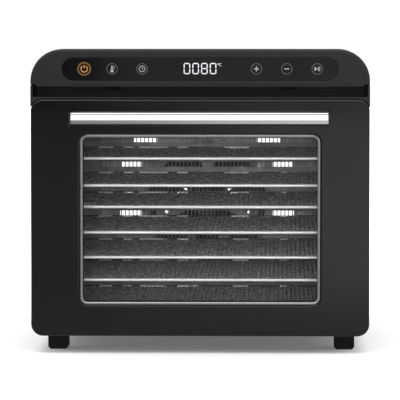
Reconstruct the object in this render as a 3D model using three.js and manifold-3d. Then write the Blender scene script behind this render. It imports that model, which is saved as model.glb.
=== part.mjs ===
// Cabinet food dehydrator: a moulded cabinet with a drop-down glazed door, seven mesh trays on side
// rails, and a fan and ring heater behind a slotted rear wall.
// Millimetres. +Z is up, -Y is the front, and the origin is on the table under the middle of the object.
import * as THREE from 'three';
import { mergeVertices } from 'three/addons/utils/BufferGeometryUtils.js';
import Module from 'manifold-3d';

const wasm = await Module();
wasm.setup();

// ---- Driving dimensions ------------------------------------------------------------------------

const width = 347; // front of the cabinet, side to side
const height = 312; // table to the top of the control head
const depth = 450; // front of the handle to the heads of the rear screws
const footHeight = 18; // table to the underside of the cabinet
const topRadius = 32.6; // upper side corners of the control head
const baseRadius = 12.5; // lower side corners of the cabinet
const shellSide = 1.5; // front frame and head beyond the outer wrap, at the sides
const shellTop = 4; // head over the top of the outer wrap
const shellRadius = 29.5; // upper side corners of the outer wrap
const wall = 2.5; // moulded walls
const sheet = 1.5; // metal sheet
const gap = 0.3; // between pieces that touch or nest

const handleProjection = 30; // door face to the front of the handle
const doorThickness = 20;
const doorSkin = 3; // front plate of the door
const doorSideMargin = 0.2; // cabinet side to the door's side
const doorTopRadius = 12;
const sealHeight = 2; // door's back to the front frame
const sealWidth = 3.5;
const sealMargin = 0.5; // chamber mouth to the seal
const headHeight = 36.6; // face of the control head
const recessHeight = 12.2; // finger recess between the head and the front frame's brow
const browHeight = 1.9; // strip of the front frame over the door
const browSetback = 0.4; // door's face to the brow
const browSpacing = 0.7; // brow to the door's upper edge
const cheekWidth = 2.2; // ends of the finger recess
const frameDepth = 12;

const windowSide = 50.4; // door's side to the window trim
const windowSill = 32.2; // door's lower edge to the trim
const windowDrop = 36.1; // door's upper edge to the trim
const windowRadius = 7.6;
const trimWidth = 2.9;
const trimStand = 0.4; // trim in front of the door face
const glassThickness = 4;
const glassOverlap = 6; // glass behind the door's front plate, all round

const hingeRise = 8.5; // hinge axis over the door's lower edge
const hingeSetback = 12; // hinge axis behind the door face
const hingeSide = 23.5; // cabinet side to the middle of a hinge arm
const hingeArm = 6; // arm thickness
const hingeNose = 4.5; // arm end radius
const hingeTail = 34; // length of the arm's foot
const pinRadius = 2;
const pinReach = 5; // pin beyond each side of its arm
const armClearance = 0.5; // round the arm, in the frame and in the door

const handleSide = 42.6; // door's side to the end of the handle
const handleTall = 13.1;
const handleThick = 9;
const handleDrop = 13; // door's upper edge to the top of the handle
const handleCap = 1.6; // thickness of an end cap
const handlePost = 12; // width of a post behind the bar

const magnetSpan = 240;
const magnetDrop = 17; // top of the front frame to the magnets' middles
const magnetWidth = 24;
const magnetTall = 10;
const magnetDepth = 8;
const strikeThickness = 1;

const chamberSide = 20.5; // cabinet side to the chamber's side wall
const chamberDrop = 82; // top of the head to the chamber's roof
const sealSpacing = 0.5; // hinge arm's slot to the seal
const railReach = 8; // side wall to the edge of a rail
const railThickness = 2.5;
const trayClearance = 3; // tray to the side wall
const trayInset = 12.7; // front frame's back to the tray
const trayBackGap = 5; // tray to the rear wall
const trayRod = 3.2; // tray frame
const trayWire = 2; // tray grid
const trayRise = 6.9; // chamber floor to the lowest tray
const trayDrop = 31.7; // chamber roof to the highest tray
const trayOffsets = [0, 3.2, 0.8, 0.8, 1.4, -2.2, 0]; // each level against even spacing, lowest first

const fanRadius = 69;
const fanTipGap = 3; // blades to the collar
const shroudMargin = 14; // collar to the edge of its plate, at least
const bladeCount = 7;
const bladeTurn = Math.PI / bladeCount; // first blade from upright
const hubRadius = 17;
const hubLength = 16;
const hubSetback = 9; // rear wall to the hub
const motorRadius = 27;
const plateReach = 12; // heater to the edge of the motor plate
const plateHoleRadius = 2.2;
const plateHoles = [[25.2, 15.6], [46.2, -8.7]]; // from the fan axis, on both sides
const shroudSlots = [[69, 26, 207], [84.5, 22, 180], [85.5, 24, 124.2]]; // side, width and height over the table
const shroudSlotHeight = 8;
const motorLength = 26;
const shaftRadius = 2.5;
const heaterRadius = 62;
const heaterTube = 3.3; // radius of the heater's sheath
const heaterSpacing = 3; // heater to the hub, and to the motor plate
const fanBay = 62.7; // chamber's rear wall to the rear cover
const rearCoverDepth = 18;

const slotDrop = 23; // chamber roof to the upper row of slots
const slotRise = 34; // chamber floor to the lowest row
const slotRowPitch = 27.4;
const slotHeight = 6;
const slotSide = 35; // chamber's side wall to a row
const slotGroups = 6;
const slotRib = 5; // metal between groups

const ventPitch = 13.6;
const ventHeight = 8;
const ventWidth = 83;
const ventRib = 3;
const ventDrop = 110; // top of the head to the upper vents
const ventRise = 75.2; // underside of the cabinet to the lowest vents

const panelSide = 32.2; // cabinet side to the touch panel's opening
const panelHeight = 24;
const panelRise = 16.1; // head's lower edge to the middle of the touch panel
const panelThickness = 2;
const panelInset = 0.4; // head's face to the touch panel
const boardThickness = 1.6;
const boardSetback = 6; // touch panel to its board
const boardSide = 9.3; // end of the panel's opening to the end of the board
const headClipSpan = 181.4;

const footWidth = 21;
const footLength = 24;
const footChamfer = 2.5;
const footSideInset = 14.5; // cabinet side to the foot
const footEndInset = 14; // ends of the cabinet floor to the foot

const inletWidth = 31; // mains inlet flange
const inletTall = 24;
const inletSide = 118; // middle of the object to the inlet
const inletRise = 40; // underside of the cabinet to the inlet
const screwHeadHeight = 2;
const screwHeadRadius = 4;
const screwRadius = 1.8;
const screwReach = 6; // screw beyond the rear cover
const screwInset = 15; // cabinet side to a screw
const lowerScrewRise = 24; // underside of the cabinet to the lower screws
const upperScrewDrop = 50; // top of the head to the upper screws
const bossWall = 2.4;

// ---- Stations that follow from them ------------------------------------------------------------

const doorFrontY = -depth / 2 + handleProjection;
const doorBackY = doorFrontY + doorThickness;
const frameFrontY = doorBackY + sealHeight;
const frameBackY = frameFrontY + frameDepth;
const shellFrontY = frameBackY + gap;
const rearCoverBackY = depth / 2 - screwHeadHeight;
const rearCoverFrontY = rearCoverBackY - rearCoverDepth;
const shellBackY = rearCoverFrontY - gap;
const rearWallY = shellBackY - fanBay;

const shellHalf = width / 2 - shellSide;
const shellTopZ = height - shellTop;
const headBottomZ = height - headHeight;
const frameTopZ = headBottomZ - recessHeight;
const doorBottomZ = footHeight;
const doorWidth = width - 2 * doorSideMargin;
const doorHeight = frameTopZ - browHeight - browSpacing - doorBottomZ;
const windowWidth = doorWidth - 2 * windowSide;
const windowHeight = doorHeight - windowSill - windowDrop;
const handleLength = doorWidth - 2 * handleSide;
const hingeY = doorFrontY + hingeSetback;
const hingeZ = doorBottomZ + hingeRise;
const hingeSpan = width - 2 * hingeSide;
const magnetZ = frameTopZ - magnetDrop;
const floorTopZ = footHeight + wall;

const chamberWidth = width - 2 * chamberSide;
const chamberFloor = hingeZ + hingeNose + armClearance + sealSpacing + sealWidth + sealMargin;
const chamberRoof = height - chamberDrop;
const mouthHalf = chamberWidth / 2;

const trayWidth = chamberWidth - 2 * trayClearance;
const trayFrontY = shellFrontY + trayInset;
const trayLength = rearWallY - trayBackGap - trayFrontY;
const lowestTray = chamberFloor + trayRise;
const highestTray = chamberRoof - trayDrop;
const trayPitch = (highestTray - lowestTray) / (trayOffsets.length - 1);
const trayLevels = trayOffsets.map((offset, i) => lowestTray + i * trayPitch + offset);

const collarRadius = fanRadius + fanTipGap;
const shroudRise = Math.max((chamberRoof - chamberFloor) / 2 + sheet, collarRadius + shroudMargin);
const shroudHalf = Math.max(mouthHalf + sheet, collarRadius + shroudMargin);
const fanZ = Math.max((chamberFloor + chamberRoof) / 2, floorTopZ + gap + shroudRise);
const shroudY = rearWallY + sheet + gap;
const hubFrontY = rearWallY + sheet + hubSetback;
const heaterY = hubFrontY + hubLength + heaterSpacing + heaterTube;
const motorPlateY = heaterY + heaterTube + heaterSpacing;
const motorFrontY = motorPlateY + sheet + gap;

const topSlotRow = chamberRoof - slotDrop;
const slotRows = 1 + Math.round((topSlotRow - chamberFloor - slotRise) / slotRowPitch);
const slotSpan = chamberWidth - 2 * slotSide; // width of a row
const topVent = height - ventDrop;
const ventRows = 1 + Math.round((topVent - footHeight - ventRise) / ventPitch);

const panelWidth = width - 2 * panelSide;
const panelZ = headBottomZ + panelRise;
const pillRadius = panelHeight / 2 - 0.2; // ends of the touch panel, all but fully round
const boardY = doorFrontY + panelInset + panelThickness + boardSetback;
const inletZ = footHeight + inletRise;
const screwX = width / 2 - screwInset;
const lowerScrew = footHeight + lowerScrewRise;
const upperScrew = height - upperScrewDrop;
const screwPlaces = [
  ['rear_screw_1', -screwX, lowerScrew],
  ['rear_screw_2', screwX, lowerScrew],
  ['rear_screw_3', -screwX, upperScrew],
  ['rear_screw_4', screwX, upperScrew],
];
const sides = [['left', -1], ['right', 1]];

// ---- Materials ---------------------------------------------------------------------------------

const paint = (color, roughness, metalness) => new THREE.MeshStandardMaterial({ color, roughness, metalness });
const mattBlack = paint(0x1d1d1e, 0.55, 0);
const glossBlack = paint(0x101011, 0.15, 0);
const rubberBlack = paint(0x0d0d0d, 0.9, 0);
const chrome = paint(0xd8dadb, 0.12, 1);
const steel = paint(0xc9cbcc, 0.3, 1);
const galvanised = paint(0x9a9d9f, 0.45, 1);
const clearGlass = paint(0x39424a, 0.05, 0);
const boardGreen = paint(0x1d5a34, 0.6, 0);
const brassYellow = paint(0xc8a24a, 0.35, 1);

// ---- Solids ------------------------------------------------------------------------------------

// A closed geometry as a solid that can be joined and cut.
function solid(geometry) {
  const bare = geometry.clone();
  bare.deleteAttribute('normal');
  bare.deleteAttribute('uv');
  const merged = mergeVertices(bare, 1e-4);
  return new wasm.Manifold(new wasm.Mesh({
    numProp: 3,
    vertProperties: merged.attributes.position.array,
    triVerts: new Uint32Array(merged.index.array),
  }));
}

function geometryOf(made) {
  const mesh = made.getMesh();
  const geometry = new THREE.BufferGeometry();
  geometry.setAttribute('position', new THREE.BufferAttribute(mesh.vertProperties, 3));
  geometry.setIndex(new THREE.BufferAttribute(mesh.triVerts, 1));
  const faceted = geometry.toNonIndexed();
  faceted.computeVertexNormals();
  return faceted;
}

function piece(name, made, material, x = 0, y = 0, z = 0) {
  const mesh = new THREE.Mesh(geometryOf(made), material);
  mesh.name = name;
  mesh.position.set(x, y, z);
  return mesh;
}

const joined = (parts) => parts.reduce((sum, part) => sum.add(part));

// A block between two limits on each axis, given in either order.
function block(x0, x1, y0, y1, z0, z1) {
  const box = new THREE.BoxGeometry(Math.abs(x1 - x0), Math.abs(y1 - y0), Math.abs(z1 - z0));
  return solid(box.translate((x0 + x1) / 2, (y0 + y1) / 2, (z0 + z1) / 2));
}

// A shape drawn in X and Z, from y0 back to y1.
function panel(shape, y0, y1, curveSegments = 4) {
  const extruded = new THREE.ExtrudeGeometry(shape, { depth: y1 - y0, bevelEnabled: false, curveSegments });
  return solid(extruded.rotateX(Math.PI / 2).translate(0, y1, 0));
}

// A shape drawn in Y and Z, from x0 to x1.
function rail(shape, x0, x1) {
  const extruded = new THREE.ExtrudeGeometry(shape, { depth: x1 - x0, bevelEnabled: false, curveSegments: 3 });
  const turn = new THREE.Matrix4().set(0, 0, 1, x0, 1, 0, 0, 0, 0, 1, 0, 0, 0, 0, 0, 1);
  return solid(extruded.applyMatrix4(turn));
}

// A round bar along X, Y or Z from a to b, with its axis through the other two coordinates.
function bar(axis, radius, a, b, p = 0, q = 0, facets = 20) {
  const cylinder = new THREE.CylinderGeometry(radius, radius, b - a, facets);
  const middle = (a + b) / 2;
  if (axis === 'x') return solid(cylinder.rotateZ(Math.PI / 2).translate(middle, p, q));
  if (axis === 'y') return solid(cylinder.translate(p, middle, q));
  return solid(cylinder.rotateX(Math.PI / 2).translate(p, q, middle));
}

// A closed profile of [radius, y] points turned about the Y axis.
function turned(points, facets = 32) {
  const profile = [...points, points[0]].reverse().map(([r, y]) => new THREE.Vector2(r, y));
  return solid(new THREE.LatheGeometry(profile, facets));
}

// A rectangle with rounded corners, upper and lower radii apart.
function roundedRect(x0, x1, z0, z1, upper, lower = upper) {
  const shape = new THREE.Shape();
  shape.moveTo(x0 + lower, z0);
  shape.lineTo(x1 - lower, z0);
  shape.absarc(x1 - lower, z0 + lower, lower, -Math.PI / 2, 0, false);
  shape.lineTo(x1, z1 - upper);
  shape.absarc(x1 - upper, z1 - upper, upper, 0, Math.PI / 2, false);
  shape.lineTo(x0 + upper, z1);
  shape.absarc(x0 + upper, z1 - upper, upper, Math.PI / 2, Math.PI, false);
  shape.lineTo(x0, z0 + lower);
  shape.absarc(x0 + lower, z0 + lower, lower, Math.PI, 1.5 * Math.PI, false);
  return shape;
}

function polygon(points) {
  return new THREE.Shape(points.map(([a, b]) => new THREE.Vector2(a, b)));
}

const rectangle = (a0, a1, b0, b1) => polygon([[a0, b0], [a1, b0], [a1, b1], [a0, b1]]);

function disc(radius) {
  return new THREE.Shape().absarc(0, 0, radius, 0, 2 * Math.PI, false);
}

// The cabinet's cross-section, drawn in by an inset.
function cabinetOutline(inset = 0) {
  const half = shellHalf - inset;
  return roundedRect(-half, half, footHeight + inset, shellTopZ - inset, shellRadius - inset, baseRadius - inset);
}

// ---- Cabinet shells ----------------------------------------------------------------------------

const floorSlotHalf = shellHalf - baseRadius;
const floorHalf = floorSlotHalf - gap;

function screwBoss(x, z, y0, y1) {
  const side = Math.sign(x);
  const rib = block(x, side * (shellHalf - wall / 2), y0, y1, z - sheet, z + sheet);
  return bar('y', screwRadius + bossWall, y0, y1, x, z, 16).add(rib);
}

const screwBore = (x, z, y0, y1) => bar('y', screwRadius + gap, y0, y1, x, z, 16);

function outerWrap() {
  const bossLength = 3 * screwReach;
  const shell = panel(cabinetOutline(), shellFrontY, shellBackY)
    .subtract(panel(cabinetOutline(wall), shellFrontY - 1, shellBackY + 1));
  const floorSlot = block(
    -floorSlotHalf, floorSlotHalf, shellFrontY - 1, shellBackY + 1, footHeight - 1, floorTopZ + 1,
  );
  const bosses = screwPlaces.map(([, x, z]) => screwBoss(x, z, shellBackY - bossLength, shellBackY));
  const bores = screwPlaces.map(([, x, z]) => screwBore(x, z, shellBackY - bossLength - 1, shellBackY + 1));
  const made = shell.subtract(floorSlot).add(joined(bosses)).subtract(joined(bores));
  return piece('outer_wrap', made, mattBlack);
}

function basePan() {
  const ribHeight = 5;
  const plate = block(-floorHalf, floorHalf, shellFrontY, shellBackY, footHeight, floorTopZ);
  const ribs = [-80, 0, 80].map((x) => block(
    x - 1, x + 1, shellFrontY + 8, rearWallY, floorTopZ - 0.5, floorTopZ + ribHeight,
  ));
  return piece('base_pan', joined([plate, ...ribs]), mattBlack);
}

// The strip over the door, the ends of the finger recess, and the fillings at the door's upper corners.
function brow() {
  const half = width / 2;
  const doorTopZ = doorBottomZ + doorHeight;
  const cornerZ = doorTopZ - doorTopRadius * 0.6;
  const clear = roundedRect(
    -doorWidth / 2 - browSpacing, doorWidth / 2 + browSpacing, doorBottomZ, doorTopZ + browSpacing,
    doorTopRadius + browSpacing, baseRadius,
  );
  const recess = rectangle(-half + cheekWidth, half - cheekWidth, frameTopZ, headBottomZ + 1);
  return panel(rectangle(-half, half, cornerZ, headBottomZ - gap), doorFrontY + browSetback, frameBackY)
    .subtract(panel(clear, doorFrontY - 1, frameBackY + 1))
    .subtract(panel(recess, doorFrontY - 1, frameBackY + 1));
}

// The frame round the chamber's mouth: a face, a rim, a collar that meets the liners, slots for the
// hinge arms, pockets for the magnets, a brow and cheeks round the door's upper edge, and an upstand
// that closes the finger recess under the head.
function frontFrame() {
  const half = width / 2;
  const faceBack = frameFrontY + wall;
  const outline = roundedRect(-half, half, footHeight, frameTopZ, 1, baseRadius);
  const hollow = roundedRect(-half + wall, half - wall, floorTopZ, frameTopZ - wall, 1, baseRadius - wall);
  const collarHalf = mouthHalf + wall;
  const collar = rectangle(-collarHalf, collarHalf, chamberFloor - wall, chamberRoof + wall);
  const mouth = rectangle(-mouthHalf, mouthHalf, chamberFloor, chamberRoof);
  const upstand = block(
    -shellHalf + wall + gap, shellHalf - wall - gap, frameBackY - wall, frameBackY, frameTopZ - wall, headBottomZ + 6,
  );
  const cavity = panel(hollow, faceBack, frameBackY + 1).subtract(panel(collar, faceBack - 1, frameBackY + 2));
  const cuts = [cavity, panel(mouth, frameFrontY - 1, frameBackY + 1)];
  for (const [, side] of sides) {
    const armX = (side * hingeSpan) / 2;
    const armHalf = hingeArm / 2 + armClearance;
    const armRise = hingeNose + armClearance;
    cuts.push(block(
      armX - armHalf, armX + armHalf, frameFrontY - 1, faceBack + 1, hingeZ - armRise, hingeZ + armRise,
    ));
    const magnetX = (side * magnetSpan) / 2;
    const magnetHalf = magnetWidth / 2 + gap;
    const magnetRise = magnetTall / 2 + gap;
    cuts.push(block(
      magnetX - magnetHalf, magnetX + magnetHalf, frameFrontY - 1, faceBack + 1,
      magnetZ - magnetRise, magnetZ + magnetRise,
    ));
  }
  const made = panel(outline, frameFrontY, frameBackY).subtract(joined(cuts)).add(upstand).add(brow());
  return piece('front_frame', made, mattBlack);
}

// The control head caps the cabinet's upper front edge, flush with the door.
function controlHead() {
  const half = width / 2;
  const backY = shellFrontY - gap;
  const outline = roundedRect(-half, half, headBottomZ, height, topRadius, 1);
  const hollowHalf = shellHalf - wall;
  const hollowTop = shellTopZ - wall;
  const hollowRadius = Math.min(shellRadius - wall, hollowTop - headBottomZ - wall - 1.5);
  const hollow = roundedRect(-hollowHalf, hollowHalf, headBottomZ + wall, hollowTop, hollowRadius, 1);
  const opening = roundedRect(
    -panelWidth / 2, panelWidth / 2, panelZ - panelHeight / 2, panelZ + panelHeight / 2, pillRadius,
  );
  const upstandSlot = block(
    -hollowHalf, hollowHalf, frameBackY - wall - gap, backY + 1, headBottomZ - 1, headBottomZ + wall + 1,
  );
  const made = panel(outline, doorFrontY, backY)
    .subtract(panel(hollow, doorFrontY + wall, backY + 1))
    .subtract(panel(opening, doorFrontY - 1, doorFrontY + wall + 1))
    .subtract(upstandSlot);
  return piece('control_head', made, mattBlack);
}

// A clip in the dark band that holds the head down on the frame.
function headClip(name, side) {
  const made = block(-7.7, 7.7, -2.5, 0, -5.2, 0);
  const x = (side * headClipSpan) / 2;
  return piece(name, made, rubberBlack, x, frameBackY - wall - gap, headBottomZ - gap);
}

// ---- Control panel -----------------------------------------------------------------------------

function touchPanel() {
  const half = panelWidth / 2 - gap;
  const rise = panelHeight / 2 - gap;
  const pill = roundedRect(-half, half, -rise, rise, pillRadius - gap);
  return piece('touch_panel', panel(pill, 0, panelThickness), glossBlack, 0, doorFrontY + panelInset, panelZ);
}

function displayModule() {
  const made = block(-24, 24, -boardSetback + gap, -gap, -7.5, 7.5);
  return piece('display_module', made, rubberBlack, 0, boardY, panelZ);
}

function touchBoard() {
  const half = panelWidth / 2 - boardSide;
  const board = block(-half, half, 0, boardThickness, -9, 9);
  const connector = block(-40, -26, boardThickness / 2, 7, -4, 4);
  return piece('touch_board', board.add(connector), boardGreen, 0, boardY, panelZ);
}

function powerBoard() {
  const underside = 5;
  const top = underside + boardThickness;
  const board = block(-60, 60, -42, 42, underside, top);
  const corners = [[-54, -36], [54, -36], [-54, 36], [54, 36]];
  const standoffs = corners.map(([x, y]) => bar('z', 3, 0, underside + 0.5, x, y, 10));
  const transformer = block(-52, -16, -28, 8, top - 0.5, 34);
  const capacitor = bar('z', 9, top - 0.5, 30, 4, -18, 16);
  const relays = [block(20, 38, -32, -8, top - 0.5, 22), block(20, 38, -2, 22, top - 0.5, 22)];
  const made = joined([board, ...standoffs, transformer, capacitor, ...relays]);
  return piece('power_board', made, boardGreen, -60, -60, chamberRoof + sheet + gap);
}

// ---- Chamber -----------------------------------------------------------------------------------

const linerHalf = mouthHalf - gap;
const linerBackY = rearWallY + sheet;

// A side wall of the chamber with a rail for each tray.
function sideLiner(name, side) {
  const skin = block(0, side * sheet, shellFrontY, linerBackY, chamberFloor - sheet, chamberRoof + sheet);
  const rails = trayLevels.map((level) => {
    const top = level - trayRod / 2 - gap;
    return block(-side * railReach, side * sheet / 2, shellFrontY + 3, rearWallY - 2, top - railThickness, top);
  });
  return piece(name, joined([skin, ...rails]), galvanised, side * mouthHalf);
}

const sensorRadius = 2;
const sensorY = 60;

function topLiner() {
  const plate = block(-linerHalf, linerHalf, shellFrontY, linerBackY, 0, sheet);
  const hole = bar('z', sensorRadius + gap, -1, sheet + 1, 0, sensorY, 16);
  return piece('top_liner', plate.subtract(hole), galvanised, 0, 0, chamberRoof);
}

function bottomLiner() {
  const plate = block(-linerHalf, linerHalf, shellFrontY, linerBackY, -sheet, 0);
  return piece('bottom_liner', plate, galvanised, 0, 0, chamberFloor);
}

// The rear wall of the chamber, with rows of slots in front of the fan.
function rearWall() {
  const plate = block(-linerHalf, linerHalf, 0, sheet, chamberFloor + gap, chamberRoof - gap);
  const groupPitch = (slotSpan + slotRib) / slotGroups;
  const slots = [];
  for (let row = 0; row < slotRows; row++) {
    const z = topSlotRow - row * slotRowPitch;
    for (let group = 0; group < slotGroups; group++) {
      const x = -slotSpan / 2 + group * groupPitch;
      slots.push(block(x, x + groupPitch - slotRib, -1, sheet + 1, z - slotHeight / 2, z + slotHeight / 2));
    }
  }
  return piece('rear_wall', plate.subtract(joined(slots)), galvanised, 0, rearWallY);
}

function airSensor() {
  const flangeFoot = sheet + gap;
  const probe = bar('z', sensorRadius, -8, flangeFoot + 1, 0, 0, 12);
  const flange = bar('z', 7, flangeFoot, flangeFoot + 3, 0, 0, 16);
  return piece('air_sensor', probe.add(flange), steel, 0, sensorY, chamberRoof);
}

function thermalCutout() {
  const cup = bar('z', 8, 0, 6, 0, 0, 20);
  const ears = block(-14, 14, -4, 4, 0, 1.2);
  const tabs = [block(-5, -3, -2.5, 2.5, 5.5, 14), block(3, 5, -2.5, 2.5, 5.5, 14)];
  const made = joined([cup, ears, ...tabs]);
  return piece('thermal_cutout', made, steel, 70, 100, chamberRoof + sheet + gap);
}

// A tray: a rod frame with a wire grid. Its origin is the middle of the front rod.
function tray(name, level) {
  const across = 7;
  const along = 3;
  const half = trayRod / 2;
  const plate = block(-trayWidth / 2, trayWidth / 2, -half, trayLength - half, -half, half);
  const cellX = (trayWidth - 2 * trayRod + trayWire) / across;
  const cellY = (trayLength - 2 * trayRod + trayWire) / along;
  const cells = [];
  for (let i = 0; i < across; i++) {
    for (let j = 0; j < along; j++) {
      const x = -trayWidth / 2 + trayRod + i * cellX;
      const y = half + j * cellY;
      cells.push(block(x, x + cellX - trayWire, y, y + cellY - trayWire, -trayRod, trayRod));
    }
  }
  return piece(name, plate.subtract(joined(cells)), steel, 0, trayFrontY + half, level);
}

// ---- Fan and heater ----------------------------------------------------------------------------

const collarLength = hubSetback + hubLength + heaterSpacing;
const armTurns = [0, 1, 2].map((i) => Math.PI / 2 + (i * 2 * Math.PI) / 3);
const motorArmReach = collarRadius + 9;
const motorArmWidth = 14;
const heaterTailAngle = 0.16;
const heaterTailSide = heaterRadius * Math.sin(heaterTailAngle);

// The plate behind the rear wall, with a collar that guides the air. The fan axis is its origin.
function fanShroud() {
  const plate = rectangle(-shroudHalf, shroudHalf, -shroudRise, shroudRise);
  plate.holes.push(disc(collarRadius));
  const ring = disc(collarRadius + sheet);
  ring.holes.push(disc(collarRadius));
  const slots = [];
  for (const [x, wide, z] of shroudSlots) {
    for (const [, side] of sides) {
      const low = z - fanZ - shroudSlotHeight / 2;
      slots.push(block(side * x - wide / 2, side * x + wide / 2, -1, sheet + 1, low, low + shroudSlotHeight));
    }
  }
  const made = panel(plate, 0, sheet, 20).subtract(joined(slots)).add(panel(ring, sheet / 2, collarLength, 20));
  return piece('fan_shroud', made, galvanised, 0, shroudY, fanZ);
}

// A round plate that carries the motor, on three arms that turn forward to the shroud.
function motorPlate() {
  const footDrop = motorPlateY - shroudY - sheet - gap;
  const parts = [bar('y', heaterRadius + plateReach, 0, sheet, 0, 0, 40)];
  for (const turn of armTurns) {
    const arm = new THREE.BoxGeometry(motorArmReach - motorRadius, sheet, motorArmWidth);
    arm.translate((motorArmReach + motorRadius) / 2, sheet / 2, 0);
    const foot = new THREE.BoxGeometry(sheet, footDrop + sheet, motorArmWidth);
    foot.translate(motorArmReach - sheet / 2, (sheet - footDrop) / 2, 0);
    parts.push(solid(arm.rotateY(turn)), solid(foot.rotateY(turn)));
  }
  const tailReach = heaterTube + 2;
  const tailSlot = block(
    -heaterTailSide - tailReach, heaterTailSide + tailReach, -1, sheet + 1,
    heaterRadius - tailReach, heaterRadius + tailReach,
  );
  const holes = [bar('y', shaftRadius + 3, -1, sheet + 1)];
  for (const [x, z] of plateHoles) {
    for (const [, side] of sides) holes.push(bar('y', plateHoleRadius, -1, sheet + 1, side * x, z, 16));
  }
  const made = joined(parts).subtract(joined(holes)).subtract(tailSlot);
  return piece('motor_plate', made, galvanised, 0, motorPlateY, fanZ);
}

function motorCan() {
  const bore = shaftRadius + gap;
  const made = turned([
    [bore, 0], [bore, motorLength], [9, motorLength], [12, motorLength - 4],
    [motorRadius - 5, motorLength - 6], [motorRadius, motorLength - 8], [motorRadius, 4], [motorRadius - 6, 0],
  ]);
  return piece('motor', made, steel, 0, motorFrontY, fanZ);
}

// Blades that narrow and twist toward the hub.
function fanWheel() {
  const bore = shaftRadius + gap;
  const hub = turned([[bore, 0], [bore, hubLength], [hubRadius, hubLength], [hubRadius, 3], [13, 0]], 28);
  const bladeRoot = hubRadius - 4;
  const bladeLength = fanRadius - bladeRoot - 2;
  const parts = [hub];
  for (let i = 0; i < bladeCount; i++) {
    const blade = new THREE.BoxGeometry(30, 1.6, bladeLength);
    const corners = blade.attributes.position;
    for (let v = 0; v < corners.count; v++) {
      const outer = corners.getZ(v) > 0;
      const chord = corners.getX(v) * (outer ? 1.2 : 0.62);
      const pitch = outer ? 0.35 : 0.55;
      const thick = corners.getY(v);
      corners.setX(v, chord * Math.cos(pitch) - thick * Math.sin(pitch));
      corners.setY(v, chord * Math.sin(pitch) + thick * Math.cos(pitch));
    }
    blade.translate(0, hubLength / 2, bladeRoot + bladeLength / 2);
    parts.push(solid(blade.rotateY(bladeTurn + (2 * Math.PI * i) / bladeCount)));
  }
  return piece('fan_wheel', joined(parts), mattBlack, 0, hubFrontY, fanZ);
}

const nutHeight = 3.5;

function motorShaft() {
  const start = -nutHeight - gap - 1;
  const end = motorFrontY + motorLength + 2 - hubFrontY;
  return piece('motor_shaft', bar('y', shaftRadius, start, end, 0, 0, 16), steel, 0, hubFrontY, fanZ);
}

function fanNut() {
  const hexagon = bar('y', 5, -nutHeight, 0, 0, 0, 6);
  const made = hexagon.subtract(bar('y', shaftRadius + gap, -nutHeight - 1, 1, 0, 0, 16));
  return piece('fan_nut', made, brassYellow, 0, hubFrontY - gap, fanZ);
}

// A sheathed heater bent into a ring behind the fan, with both ends turned back through the plate.
function heaterRing() {
  const tail = heaterTube + heaterSpacing + sheet + 10;
  const turns = 36;
  const points = [];
  for (let i = 0; i <= turns; i++) {
    const sweep = heaterTailAngle + (i / turns) * 2 * (Math.PI - heaterTailAngle);
    points.push(new THREE.Vector3(heaterRadius * Math.sin(sweep), 0, heaterRadius * Math.cos(sweep)));
  }
  const ends = [points[0], points[turns]].map((end) => new THREE.Vector3(end.x, tail, end.z));
  const path = new THREE.CatmullRomCurve3([ends[0], ...points, ends[1]], false, 'centripetal');
  const tube = new THREE.ExtrudeGeometry(disc(heaterTube), {
    steps: 64, extrudePath: path, bevelEnabled: false, curveSegments: 5,
  });
  return piece('heater_ring', solid(tube), galvanised, 0, heaterY, fanZ);
}

// A block on the motor plate with the heater threaded through it.
function heaterClip(name, side) {
  const front = -heaterTube - 2;
  const back = motorPlateY - gap - heaterY;
  const hole = bar('z', heaterTube + 2 * gap, -5, 5, 0, 0, 20);
  const made = block(-6, 6, front, back, -4, 4).subtract(hole);
  return piece(name, made, steel, side * heaterRadius, heaterY, fanZ);
}

// ---- Rear cover and mains ----------------------------------------------------------------------

function rearCover() {
  const innerY = rearCoverBackY - wall;
  const shell = panel(cabinetOutline(), rearCoverFrontY, rearCoverBackY)
    .subtract(panel(cabinetOutline(wall), rearCoverFrontY - 1, innerY));
  const cuts = [];
  for (let row = 0; row < ventRows; row++) {
    const z = topVent - row * ventPitch;
    for (const column of [-1, 0, 1]) {
      const x = column * (ventWidth + ventRib);
      cuts.push(block(
        x - ventWidth / 2, x + ventWidth / 2, innerY - 1, rearCoverBackY + 1,
        z - ventHeight / 2, z + ventHeight / 2,
      ));
    }
  }
  const inletHalf = inletWidth / 2 - 2;
  const inletHalfTall = inletTall / 2 - 2;
  cuts.push(block(
    inletSide - inletHalf, inletSide + inletHalf, innerY - 1, rearCoverBackY + 1,
    inletZ - inletHalfTall, inletZ + inletHalfTall,
  ));
  const bosses = screwPlaces.map(([, x, z]) => screwBoss(x, z, rearCoverFrontY, innerY + 0.5));
  for (const [, x, z] of screwPlaces) cuts.push(screwBore(x, z, rearCoverFrontY - 1, rearCoverBackY + 1));
  return piece('rear_cover', joined([shell, ...bosses]).subtract(joined(cuts)), mattBlack);
}

function rearScrew(name, x, z) {
  const shank = bar('y', screwRadius, -rearCoverDepth - screwReach, gap + 0.5, 0, 0, 12);
  const head = bar('y', screwHeadRadius, gap, screwHeadHeight, 0, 0, 16);
  const slots = block(-2.4, 2.4, screwHeadHeight - 0.8, screwHeadHeight + 1, -0.5, 0.5)
    .add(block(-0.5, 0.5, screwHeadHeight - 0.8, screwHeadHeight + 1, -2.4, 2.4));
  return piece(name, shank.add(head).subtract(slots), steel, x, rearCoverBackY, z);
}

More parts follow.
